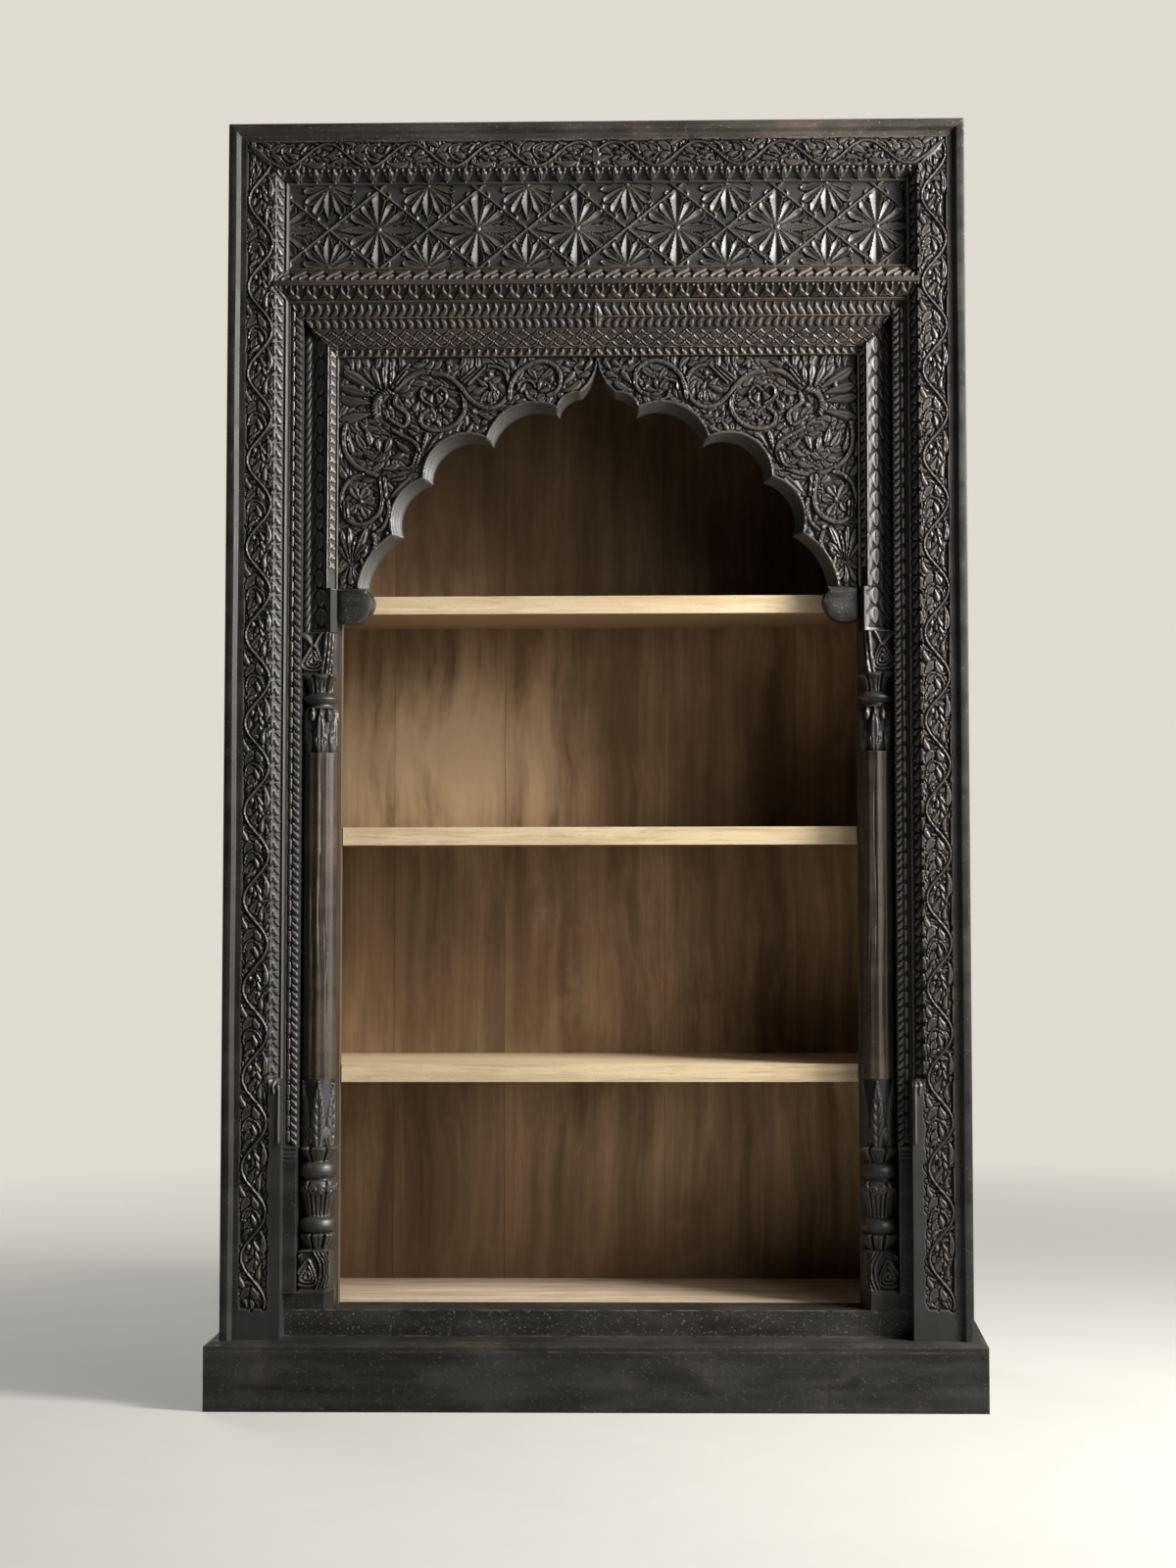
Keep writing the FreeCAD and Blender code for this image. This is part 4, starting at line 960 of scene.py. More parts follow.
def carve_ridge_rail():
    """Slanted leaf scrolls above the ridge and a running scroll of leaves below it."""
    lower = RIDGE_SLANT + RIDGE_FLAT
    base = lower + RIDGE_SLANT
    across = places(0, 2 * RIDGE_SLANT + RIDGE_FLAT, PITCH, RIDGE_SLANT, lower)
    board = Carving(places(-BAND_IN, BAND_IN, PITCH), across)
    board.lay(2, RIDGE_SLANT - 2, RIDGE_GROUND)
    board.lay(lower + 2, base - 2, RIDGE_GROUND)
    for place in np.arange(-BAND_IN, BAND_IN, UPPER_UNIT):
        board.leaf((place, RIDGE_SLANT - 4), (place + 23, 6), 5.4, 0.3, -0.12, rib=1.2)
        board.leaf((place + 13, RIDGE_SLANT - 5), (place + 25, 17), 3.4, 0.0, -0.1)
        board.stem(spiral((place + 6, 11), 6.0, 200, -1.1, 16), 1.9, 0.2, 1.4)
        board.bead((place + 6, 11), 2.0, -0.2)
    for place in np.arange(-BAND_IN, BAND_IN, LOWER_UNIT):
        board.leaf((place, lower + 5), (place + 13, base - 5), 5.6, 0.3, 0.24, rib=1.1)
        board.leaf((place + 26, lower + 6), (place + 18, base - 4), 4.6, 0.2, -0.2, hollow=1.6)
        board.stem(curve((place - 3, base - 5), (place + 10, lower + 6), 0.2), 1.9, 0.0)
        board.bead((place + 20, lower + 7), 2.4, -0.2)
    board.polish_and_shade[board.across < RIDGE_SLANT] = RIDGE_POLISH
    upper_part = np.clip(board.across, 0, RIDGE_SLANT)
    flat_part = np.clip(board.across - RIDGE_SLANT, 0, RIDGE_FLAT)
    lower_part = np.clip(board.across - lower, 0, RIDGE_SLANT)
    drop = (FRIEZE_LOW - RIDGE_HIGH) / RIDGE_SLANT
    lift = (BEVEL_BACK - BAND_DEPTH) / RIDGE_SLANT
    tilt = np.where(board.across < RIDGE_SLANT, lift, np.where(board.across > lower, -lift, 0.0))
    z = FRIEZE_LOW - drop * upper_part - flat_part - drop * lower_part + tilt * board.height
    depth = BEVEL_BACK - lift * upper_part + lift * lower_part - np.sqrt(1 - tilt ** 2) * board.height
    half = STILE_IN + np.clip(BEVEL_BACK - depth, 0, BEVEL_BACK - BAND_DEPTH)
    x = np.clip(board.along, -half, half)
    carved_board("carved_ridge_rail", "ridge_rail", world(x, depth, z), board, RIDGE_GROUND, 0.0, FRAME_BACK,
                 browned_carving)


LINTEL_SLANT = hypot(RAIL_LOW - LINTEL_LOW, LINTEL_LOW_DEPTH - LINTEL_TOP_DEPTH)
LINTEL_GROUND = -3.2
CRESCENT_UNIT, SCALE_UNIT = 14.2, 25.0
NET_TOP, NET_LOW, NET_ROW, NET_GROUND = 48.5, 76.5, 9.2, -1.3
# Crescents of one unit, one in each row: stalk and tip (along, down), half width and hollow.
CRESCENTS = ((1, 3, 9, 24, 4.6, 1.3), (10, 29, 3, 45, 4.4, 1.3), (2, 79.5, 9, 91, 3.8, 0.9))


def carve_lintel():
    """Rows of crescents and a net of scales on the splayed lintel; both halves run to the middle."""
    board = Carving(places(0, STILE_IN, PITCH), places(0, LINTEL_SLANT, PITCH), LINTEL_GROUND)
    for level in (1.0, 26.5, 47.0, 78.0, LINTEL_SLANT - 1.5):
        board.stem([(0, level), (STILE_IN, level)], 1.6, 0.2)
    for place in np.arange(0, STILE_IN, CRESCENT_UNIT):
        for x0, y0, x1, y1, half, hollow in CRESCENTS:
            board.leaf((place + x0, y0), (place + x1, y1), half, 0.3, 0.22, hollow=hollow)
    board.height[(board.across > NET_TOP) & (board.across < NET_LOW)] = NET_GROUND
    for row in range(3):
        level = NET_TOP + NET_ROW * row
        for place in np.arange(-SCALE_UNIT / 2 * (row % 2), STILE_IN, SCALE_UNIT):
            scale = curve((place, level), (place + SCALE_UNIT, level), 0.36)
            board.stem(scale, 1.7, 0.4, apart=1.3)
    board.leaf((0, 44), (0, 2), 9.0, 0.6, form="blade", rib=1.5)
    board = board.mirrored()
    fall = (RAIL_LOW - LINTEL_LOW) / LINTEL_SLANT
    lean = (LINTEL_LOW_DEPTH - LINTEL_TOP_DEPTH) / LINTEL_SLANT
    z = RAIL_LOW - fall * board.across - lean * board.height
    depth = LINTEL_TOP_DEPTH + lean * board.across - fall * board.height
    half = STILE_IN - (STILE_IN - POST_IN) * board.across / LINTEL_SLANT
    x = np.clip(board.along, -half, half)
    carved_board("carved_lintel", "lintel", world(x, depth, z), board, LINTEL_GROUND, 0.0, LINER_FACE,
                 browned_carving)


def lintel_mitre(x):
    """Height of the lintel's slanted end, which the uprights under it are cut to."""
    out = np.clip(x, POST_IN, STILE_IN) - POST_IN
    return LINTEL_LOW + out * (RAIL_LOW - LINTEL_LOW) / (STILE_IN - POST_IN)


# Uprights beside the opening


BEAD_LOW, BEAD_DEPTH = 419.0, 34.0
BEAD_IN, FOOT_IN = 496.0, 498.0
BEAD_GROUND = -4.2
BEAD_FILLET = 3.2
BEAD_UNIT = 25.4


def carve_bead_strip(side):
    """A plain fillet, a column of long beads and a column of slanted leaves."""
    board = Carving(places(BEAD_LOW, RAIL_LOW, PITCH), places(0, STILE_IN - BEAD_IN, 1.0))
    board.polish_and_shade[board.across < BEAD_FILLET] = BEAD_FILLET_POLISH
    board.lay(BEAD_FILLET, np.inf, BEAD_GROUND, BEAD_LOW + 4)
    for place in np.arange(BEAD_LOW + 8, RAIL_LOW, BEAD_UNIT):
        board.stem([(place + 5, 8.0), (place + 18, 8.0)], 4.2, 0.6)
        board.bead((place + 24.2, 8.0), 1.9, -0.6)
    for place in np.arange(BEAD_LOW + 6, RAIL_LOW, BEAD_UNIT / 2):
        board.leaf((place + 14, 13.0), (place - 1, 22.4), 4.6, 0.7, 0.14, rib=1.0, apart=0.6)
    x = STILE_IN - board.across
    front = world(side * x, BEAD_DEPTH - board.height, np.minimum(board.along, lintel_mitre(x)))
    carved_board(*named("carved", "bead_strip", side), front, board, BEAD_GROUND, 0.2, LINER_FACE,
                 upright_carving)


def carve_foot_block(side):
    """Plain block under the bead strip, with three grooves cut across its top."""
    width = STILE_IN - FOOT_IN
    board = Carving(places(PAD_TOP, BEAD_LOW, PITCH), places(0, width, PITCH))
    for level in (3.5, 10.5, 17.5):
        board.groove([(BEAD_LOW - level, 0), (BEAD_LOW - level, width)], 2.8, 2.4)
    front = world(side * (STILE_IN - board.across), BEAD_DEPTH - board.height, board.along)
    carved_board(*named("grooved", "foot_block", side), front, board, -2.0, 0.0, LINER_FACE, upright_boards,
                 slot=PLAIN)


ROPE_AXIS, ROPE_DEPTH, ROPE_RADIUS = 489.2, 64.0, 6.8
ROPE_TURN, ROPE_STRANDS = 48.0, 3


def twist_rope(side):
    """Three strands twisted together, tapered at the top."""
    top = float(lintel_mitre(ROPE_AXIS)) - 1.0
    turn, level = np.meshgrid(np.linspace(0, 2 * pi, 33)[:-1], places(CAPITAL_TOP, top, 1.6))
    lobes = np.abs(np.cos(ROPE_STRANDS / 2 * (turn - 2 * pi * level / ROPE_TURN)))
    taper = np.clip((top - level) / 22.0, 0.25, 1)
    reach = ROPE_RADIUS * (0.70 + 0.30 * lobes ** 0.7) * taper
    points = world(side * (ROPE_AXIS - reach * np.sin(turn)), ROPE_DEPTH - reach * np.cos(turn), level)
    lathe(*named("twisted", "rope", side), points, (lobes, 0.25 + 0.5 * lobes), upright_carving)


POST_RIDGE_DEPTH, POST_OUT_DEPTH, POST_IN_DEPTH = 46.0, 66.0, 64.0
POST_GROUND = -3.2
POST_STOP = 1352.0
POST_UNIT = 32.6


def carve_post(side):
    """A ridged post: pointed scales outside the ridge and a plait inside, which stops above a plain foot."""
    outer_rise = POST_OUT_DEPTH - POST_RIDGE_DEPTH
    inner_rise = POST_IN_DEPTH - POST_RIDGE_DEPTH
    outer = hypot(POST_OUT - POST_RIDGE, outer_rise)
    inner = hypot(POST_RIDGE - POST_IN, inner_rise)
    high = float(lintel_mitre(POST_OUT))
    board = Carving(places(CAPITAL_TOP, high, PITCH), places(0, outer + inner, PITCH, outer))
    plaited = board.along > POST_STOP
    board.lay(1.5, outer - 2, POST_GROUND, CAPITAL_TOP + 6)
    board.lay(outer + 2, outer + inner - 1.5, POST_GROUND, POST_STOP)
    board.polish_and_shade[~plaited & (board.across > outer - 2)] = POST_FOOT_POLISH
    middle = outer / 2
    centre = outer + inner / 2
    for place in np.arange(POST_STOP - 2 * POST_UNIT, high, POST_UNIT):
        board.leaf((place + 31, middle), (place + 1, middle), 13.5, 0.2, form="blade", rib=1.4)
        for off in (-15, 15):
            board.leaf((place + 18, middle + off), (place - 12, middle + off), 8.0, -0.2,
                       form="blade", hollow=1.2)
        if place < POST_STOP:
            continue
        for low, end in ((16, 1), (32, 17)):
            board.leaf((place + low, centre - 6), (place + end, centre + 7), 4.4, 0.2, 0.1, rib=0.8)
        for half_step in (0, POST_UNIT / 2):
            board.leaf((place + 10 + half_step, centre + 8), (place + half_step, centre - 6), 2.6, -0.2, 0.1)
    outward = np.clip(board.across, 0, outer) / outer
    inward = np.clip(board.across - outer, 0, inner) / inner
    ridge = np.where(plaited, POST_RIDGE, POST_RIDGE - 6.5)
    x = POST_OUT - (POST_OUT - ridge) * outward - (ridge - POST_IN) * inward
    depth = POST_OUT_DEPTH - outer_rise * outward + inner_rise * inward
    lean = np.where(board.across < outer, outer_rise / outer, -inner_rise / inner)
    z = np.minimum(board.along, lintel_mitre(x))
    front = world(side * (x + lean * board.height), depth - np.sqrt(1 - lean ** 2) * board.height, z)
    carved_board(*named("carved", "post", side), front, board, POST_GROUND, 0.2, LINER_FACE, post_carving_with_painted_sheen)


# Columns


RING_COUNT = 112
BLOCK_HALF = 28.2
FACET_WIDE, FACET_DEEP = 13.0, 24.0
COLUMN_CUT = 3.4


def block_reach(turn):
    """How far a square block reaches in each direction, with its inner front corner cut to a facet."""
    facet = FACET_DEEP * (BLOCK_HALF - FACET_WIDE) + FACET_WIDE * BLOCK_HALF
    planes = [(1, 0, BLOCK_HALF), (-1, 0, BLOCK_HALF), (0, 1, BLOCK_HALF), (0, -1, BLOCK_HALF),
              (FACET_DEEP, FACET_WIDE, facet)]
    reach = np.full(turn.shape, 3 * BLOCK_HALF)
    for inner, front, limit in planes:
        along = inner * np.sin(turn) + front * np.cos(turn)
        reach = np.where(along > 1e-6, np.minimum(reach, limit / np.maximum(along, 1e-6)), reach)
    return reach


def turn_column(side, part, low, high, profile, block, carve):
    """One length of a column: a turned profile with a square block at one end, then carved."""
    angle = np.linspace(-pi, pi, RING_COUNT + 1)[:-1]
    board = Carving(places(low, high, PITCH), angle * COLUMN_RADIUS)
    carve(board)
    radius = np.interp(board.along, *zip(*profile))
    turn = board.across / COLUMN_RADIUS
    start, end = block
    square = np.clip(np.minimum(board.along - start + 2, end + 2 - board.along) / 2, 0, 1)
    reach = radius + (block_reach(turn) - radius) * square + board.height
    x = side * np.minimum(COLUMN_X - reach * np.sin(turn), COLUMN_X + COLUMN_RADIUS)
    depth = np.minimum(COLUMN_DEPTH - reach * np.cos(turn), LINER_FACE)
    lathe(*named("carved", f"column_{part}", side), world(x, depth, board.along),
          board.shares(-COLUMN_CUT, 0.0), upright_carving)


BASE_PROFILE = (
    (182, 26), (249, 20), (251, 20), (262, 25), (273, 30), (276, 29), (278, 22), (279, 25), (281, 28),
    (285, 30.6), (290, 31.4), (295, 30.6), (300, 28), (302, 25), (303, 21.5), (306, 20.5), (318, 21.5),
    (334, 25), (348, 29), (360, 30), (364, 27), (366, 22), (367, 24.5), (370, 28), (374, 30.6),
    (380, 31.4), (386, 30.6), (391, 27.5), (393, 24.5), (394, 21), (396, 20.5), (404, 25), (412, 30),
    (417, 31), (420, 28), (426, 27.5), (470, 29), (532, 29.8),
)
CAPITAL_PROFILE = (
    (1075, 25), (1080, 27), (1092, 29.5), (1120, 30.3), (1142, 29), (1150, 25), (1153, 21), (1156, 21),
    (1159, 26), (1165, 31), (1167, 31), (1173, 24), (1176, 20.5), (1184, 21), (1196, 25), (1203, 29),
    (1205, 28), (1277, 28),
)
BASE_BLOCK, CAPITAL_BLOCK = (PAD_TOP, 249), (1205, CAPITAL_TOP)
LEAF_ARC = 2 * pi * COLUMN_RADIUS / 6
PETAL_ARC = 2 * pi * COLUMN_RADIUS / 8
BASE_GROUND, BASE_BLOCK_GROUND = -2.8, -4.6
CAPITAL_GROUND, CAPITAL_BLOCK_GROUND = -5.0, -4.8
# Veins beside the rib of a lotus leaf: height and place beside the rib, half width and depth.
LOTUS_VEINS = (
    (((1146, 2), (1118, 7.5), (1088, 4)), 1.7, 1.8),
    (((1150, 6), (1126, 11), (1094, 8.5)), 1.5, 1.5),
)


def ring_places(arc=LEAF_ARC):
    """Middles of the leaves round a column, counted along its girth from the front."""
    return [4.0 + arc * step for step in range(-5, 6)]


def carve_block(board, low, high, half, ground, heart):
    """Sink the face of a square block and raise teardrops in it, round below and pointed above."""
    board.height[(board.along > low) & (board.along < high) & (np.abs(board.across + 2) < half)] = ground
    board.ground = ground
    for size in (15.0, 9.6, 4.4):
        ring = [(heart[0] + size * (1.45 * cos(turn) + 0.35 * cos(turn) ** 2),
                 heart[1] + 0.85 * size * sin(turn) * (1 - 0.45 * cos(turn)))
                for turn in np.linspace(0, 2 * pi, 31)]
        board.stem(ring, 2.0, 0.6)


def carve_base(board):
    """Tall leaves over a collar, a vase with volutes between two cushions, and a teardrop on the block."""
    board.lay(-np.inf, np.inf, BASE_GROUND, 420)
    for middle in ring_places():
        board.leaf((402, middle), (531, middle), 14.0, 1.4, form="blade", rib=2.2)
        for hand in (-1, 1):
            for step in range(4):
                rise = 436 + 17 * step
                tip = (rise + 15, middle + (10.5 - 2 * step) * hand)
                board.groove([(rise, middle + 1.5 * hand), tip], 1.7, 1.5)
        board.leaf((424, middle + 15), (452, middle + 15), 5.5, 0.8, hollow=1.6)
        board.groove([(396, middle + 15), (420, middle + 15)], 3.6, 5.5)
        board.leaf((417, middle - 10), (417, middle + 10), 4.0, 3.0, form="oval", low=0.0)
        for hand in (-1, 1):
            volute = spiral((350, middle + hand * 7.8), 7.2, 90 + 90 * hand, 1.3 * hand, 24, 0.25)
            board.stem(volute, 2.2, 2.0, low=-1.5)
            board.groove([(307, middle + hand * 4.5), (339, middle + hand * 5.5)], 2.6, 3.0)
        board.groove([(307, middle + 15), (362, middle + 15)], 3.0, 4.0)
    for middle in ring_places(PETAL_ARC):
        board.groove([(275, middle + PETAL_ARC / 2), (252, middle + PETAL_ARC / 2)], 3.6, 7.0)
        board.groove([(274, middle), (256, middle)], 1.8, 2.0)
    carve_block(board, 186, 247, 27, BASE_BLOCK_GROUND, (208.0, -12.0))
    for step in range(4):
        aside = 6.2 * step
        fold = smooth([(247, -2 + aside), (228, 8 + aside), (206, 8 + aside), (187, 2 + aside)])
        board.stem(fold, 2.3, 0.8)
    board.leaf((200, -25), (246, -19), 5.0, 0.4, -0.15, "blade", rib=1.4)


def carve_capital(board):
    """Hanging lotus leaves under a knife-edged disc, a curled collar, and a tulip on the block."""
    board.ground = CAPITAL_GROUND
    board.height[board.along < 1149] = board.ground
    for middle in ring_places():
        board.leaf((1153, middle), (1072, middle), 14.6, 0.8, rib=2.0)
        for hand in (-1, 1):
            for vein, half, deep in LOTUS_VEINS:
                board.groove(smooth([(level, middle + over * hand) for level, over in vein]), half, deep)
        board.leaf((1151, middle + 15), (1128, middle + 15), 6.0, 1.4, rib=1.4)
        board.groove([(1177, middle + 15), (1203, middle + 15)], 4.0, 6.0)
        board.leaf((1202, middle - 9), (1202, middle + 9), 3.8, 3.4, form="oval", low=0.0)
        for hand in (-1, 1):
            board.groove([(1178, middle + 5 * hand), (1197, middle + 6 * hand)], 1.8, 2.0)
    carve_block(board, 1207, 1275, 28, CAPITAL_BLOCK_GROUND, (1229.0, -9.0))
    for tip, radius in ((-25, 4.6), (5, 4.0)):
        petal = smooth([(1277, tip), (1268, 0.6 * tip - 4), (1258, 0.25 * tip - 7), (1252, -9)])
        board.stem(petal, radius, 0.8, 2.2)
    for step in range(3):
        fold = smooth([(1208, 5 + 7.2 * step), (1236, 9 + 8 * step), (1276, 12 + 9 * step)])
        board.stem(fold, 3.1, 0.8)


SHAFT_SIDES = 12
# Cracks along the shafts: place round the shaft in radians, lowest and highest point.
SHAFT_CRACKS = ((-0.32, 540, 900), (0.14, 700, 1070), (0.52, 560, 820), (-0.78, 640, 1060))


def shape_shaft(side):
    """A twelve-sided shaft with softened arrises, cracks along it, and faces planed a little hollow."""
    angle = np.linspace(-pi, pi, SHAFT_SIDES * 8 + 1)[:-1]
    turn, level = np.meshgrid(angle, places(BASE_TOP, CAPITAL_LOW, 12.0))
    face = 2 * pi / SHAFT_SIDES
    off = np.abs(np.mod(turn, face) - face / 2) / (face / 2)
    reach = COLUMN_RADIUS * cos(face / 2) / np.cos(off * face / 2)
    reach = np.minimum(reach, COLUMN_RADIUS * 0.992) - 0.7 * np.cos(off * pi / 2) ** 2
    reach = reach - 0.25 * np.sin(level / 171.0 + 2.0 * np.sin(turn))
    for place, low, high in SHAFT_CRACKS:
        along = np.clip(np.minimum(level - low, high - level) / 60, 0, 1)
        reach = reach - 1.7 * along * np.exp(-((turn - place - 0.05 * np.sin(level / 47.0)) / 0.045) ** 2)
    x = side * (COLUMN_X - reach * np.sin(turn))
    depth = np.minimum(COLUMN_DEPTH - reach * np.cos(turn), LINER_FACE)
    name, _ = named("planed", "shaft", side)
    _, node = named("planed", "column_shaft", side)
    lathe(name, node, world(x, depth, level), (off ** 3, off ** 3), shaft_wood, 20)


# Cusped arch


# Cusps of the arch from the springing to the tip: out and up as shares of its half width and rise, share of
# the bevel, and how far the lobe up to the next cusp bows out.
ARCH_POINTS = (
    (0.883, 0.000, 1.0, 0.117),
    (0.750, 0.225, 1.0, 0.213),
    (0.638, 0.462, 1.0, 0.285),
    (0.404, 0.626, 1.0, 0.240),
    (0.149, 0.756, 0.9, 0.180),
    (0.067, 0.838, 0.6, -0.110),
    (0.000, 1.000, 0.3, 0.000),
)


def arch_line(bevel):
    """The arch from its springing to its tip, set back by a bevel: lobes between cusps."""
    corners = []
    for out, up, share, rise in ARCH_POINTS:
        spot = np.array([POST_IN * out, ARCH_RISE * up])
        corners.append((spot * (1 + share * bevel / np.linalg.norm(spot)), rise))
    line = []
    for (start, rise), (end, _) in zip(corners, corners[1:]):
        run = end - start
        chord = np.linalg.norm(run)
        aside = np.array([run[1], -run[0]]) / chord
        radius = chord * (0.25 + rise ** 2) / (2 * abs(rise))
        sweep = 2 * np.arcsin(chord / 2 / radius)
        share = np.linspace(0, 1, 25)[:-1]
        angle = sweep * (share - 0.5)
        bow = radius * (np.cos(angle) - np.cos(sweep / 2)) * np.sign(rise)
        step = 0.5 * chord + radius * np.sin(angle)
        line.append(start + np.outer(step, run / chord) + np.outer(bow, aside))
    line.append(corners[-1][0][None])
    line = np.vstack(line)
    line[:, 1] += SPRINGING
    return line


def distance_to(line, x, z):
    """Distance from each place to a line, and the nearest point on it."""
    best = np.full(x.shape, np.inf)
    near_x = np.zeros(x.shape)
    near_z = np.zeros(x.shape)
    for start, end in zip(line, line[1:]):
        run = end - start
        part = np.clip(((x - start[0]) * run[0] + (z - start[1]) * run[1]) / max(run @ run, 1e-9), 0, 1)
        at_x = start[0] + part * run[0]
        at_z = start[1] + part * run[1]
        away = np.hypot(x - at_x, z - at_z)
        closer = away < best
        best[closer] = away[closer]
        near_x[closer] = at_x[closer]
        near_z[closer] = at_z[closer]
    return best, near_x, near_z


def under_arch(line, x, z):
    """Whether each place lies in the opening under a line of the arch."""
    line = np.vstack([line, [(0, SPRINGING)]])
    odd = np.zeros(x.shape, bool)
    for start, end in zip(line, np.roll(line, -1, axis=0)):
        if start[1] == end[1]:
            continue
        level = (z >= min(start[1], end[1])) & (z < max(start[1], end[1]))
        crossing = start[0] + (z - start[1]) * (end[0] - start[0]) / (end[1] - start[1])
        odd ^= level & (x < crossing)
    return odd


# The spandrel's ornament in drawing units: how far from the middle and how far under the lintel.
DRAWING_UNIT = 1.648
# Stems: radius and points.
SPANDREL_STEMS = (
    (2.6, ((208, 32), (196, 21), (183, 15), (166, 16), (151, 22), (141, 33), (137, 46), (138, 57), (145, 67),
           (155, 73), (167, 75), (177, 72), (182, 66), (181, 59), (175, 54))),
    (2.4, ((170, 16), (156, 18), (143, 28), (133, 41), (121, 50), (110, 52), (100, 48), (93, 39), (91, 27),
           (95, 16), (103, 10), (113, 9), (121, 13), (126, 20))),
    (2.6, ((91, 42), (89, 29), (84, 18), (74, 9), (61, 4), (49, 6), (40, 14), (38, 25), (43, 35), (51, 39))),
    (2.6, ((259, 69), (261, 82), (259, 97), (251, 109), (239, 117), (223, 122), (207, 121), (193, 115),
           (185, 105), (184, 94), (190, 86), (201, 80), (211, 74))),
    (1.8, ((186, 99), (191, 112), (203, 115))),
    (2.5, ((223, 124), (222, 134), (221, 147), (224, 159), (233, 168), (245, 172), (256, 167), (262, 155),
           (263, 142), (259, 131), (251, 123), (241, 120))),
    (2.3, ((207, 39), (209, 47), (202, 53), (196, 58), (195, 65), (200, 71), (208, 67), (214, 63))),
    (1.8, ((170, 33), (177, 30), (182, 35), (180, 43), (171, 49))),
    (1.8, ((168, 35), (162, 31), (156, 36), (156, 44), (162, 50))),
    (1.6, ((82, 33), (81, 27), (75, 24), (68, 25), (64, 31))),
    (1.7, ((74, 35), (71, 42), (65, 44))),
    (2.2, ((215, 148), (214, 159), (219, 173), (227, 180))),
    (2.2, ((230, 182), (228, 193), (234, 207), (237, 215))),
    (1.6, ((140, 23), (127, 11))),
    (1.6, ((137, 25), (121, 11))),
    (1.6, ((133, 27), (115, 9))),
    (1.7, ((211, 30), (203, 17), (194, 7))),
    (1.7, ((207, 27), (197, 14))),
    (2.0, ((219, 124), (217, 144))),
    (1.6, ((260, 149), (259, 165))),
    (1.6, ((257, 150), (256, 164))),
)
# Leaves: stalk, tip, half width, then a deeper rib, a hollow and a bend where there are any.
SPANDREL_LEAVES = (
    (231, 57, 265, 64, 5), (232, 47, 265, 42, 5.5), (231, 39, 263, 30, 5.5, 1.2),
    (227, 34, 261, 13, 5.5, 1.2), (223, 32, 241, 9, 4.6, 0.8, 1.5), (222, 33, 232, 10, 4, 1),
    (218, 32, 220, 9, 4.2, 1.2), (213, 32, 211, 12, 3.6, 1), (160, 25, 143, 51, 4.6, 1.4, 0, 0.22),
    (183, 45, 190, 55, 4), (169, 36, 176, 48, 4.6), (166, 36, 160, 48, 4.6),
    (205, 38, 190, 36, 3.4, 1, 0, 0.1), (160, 54, 150, 60, 3.6, 1, 0, 0.1), (125, 21, 113, 32, 3.2, 0.9),
    (112, 24, 106, 36, 2.8), (113, 34, 119, 45, 3, 0.8, 1.4), (110, 34, 111, 46, 3, 0.8, 1.4),
    (107, 34, 104, 44, 2.8, 0.8, 1.2), (113, 30, 128, 36, 3.2), (62, 23, 71, 12, 3.4, 0.8, 1.6),
    (60, 23, 46, 12, 3.6, 0.8, 1.6), (62, 36, 48, 32, 2.9), (61, 34, 59, 24, 2.8),
    (36, 29, 24, 15, 3.4, 0.9), (38, 35, 17, 25, 4, 1, 0, 0.1), (21, 21, 8, 16, 3.2), (14, 14, 6, 3, 3),
    (24, 10, 14, 4, 3), (248, 75, 239, 93, 4.2, 0.8, 1.6, 0.1), (238, 72, 233, 90, 4, 1.2),
    (255, 74, 251, 98, 3.6, 1, 0, 0.12), (224, 98, 227, 84, 3.8, 1), (219, 98, 213, 83, 4, 1),
    (214, 103, 200, 98, 3.6, 0.9, 0, 0.1), (240, 101, 224, 108, 3.6, 0.8, 1.2, -0.1),
    (222, 114, 205, 110, 3.4, 0.9, 0, 0.1), (231, 106, 219, 100, 3.4, 0.8, 1.2, 0.1),
    (208, 84, 194, 96, 3.4, 0.8, 0, 0.1), (245, 147, 253, 133, 5, 0.8, 2),
    (244, 146, 236, 134, 5, 0.8, 2), (242, 149, 229, 146, 4.8, 0.8, 2), (243, 152, 236, 164, 5, 0.8, 2),
    (247, 150, 254, 160, 4.2, 0.8, 2), (213, 145, 191, 125, 7, 1.6), (214, 127, 197, 123, 3.2),
    (181, 99, 175, 77, 3, 0.9), (175, 95, 161, 79, 4, 1), (184, 92, 187, 80, 2.6),
    (170, 92, 159, 86, 2.8), (129, 62, 121, 68, 2.8, 0.8, 1.3), (127, 66, 134, 77, 2.6),
    (120, 70, 114, 64, 2.6, 0.8, 1.2), (127, 77, 114, 72, 2.8, 0.8, 0, 0.1),
    (119, 60, 108, 62, 2.6, 0.8, 0, 0.1), (254, 212, 266, 194, 2.8), (254, 212, 263, 178, 3.2, 0.9),
    (253, 210, 255, 175, 3.2, 0.9), (252, 210, 248, 185, 2.4), (251, 210, 237, 176, 4.2, 1.3),
    (250, 209, 236, 193, 4, 1.2), (249, 209, 237, 201, 2.8), (254, 215, 263, 233, 3.4, 0.9),
    (253, 215, 253, 234, 4), (251, 216, 241, 231, 4.2, 0.8, 1.6, 0.1),
    (243, 205, 238, 216, 2.6, 0.8, 0, 0.1), (226, 160, 221, 170, 2.4),
    (265, 110, 258, 124, 3.6, 1, 0, 0.1), (265, 88, 264, 104, 3.2), (196, 74, 188, 79, 2.8),
    (193, 68, 183, 76, 3), (86, 46, 74, 43, 2.8, 0.8, 0, 0.1), (99, 56, 88, 50, 2.8),
    (148, 10, 156, 4, 2.8), (176, 5, 190, 9, 3), (104, 5, 92, 9, 2.8),
)
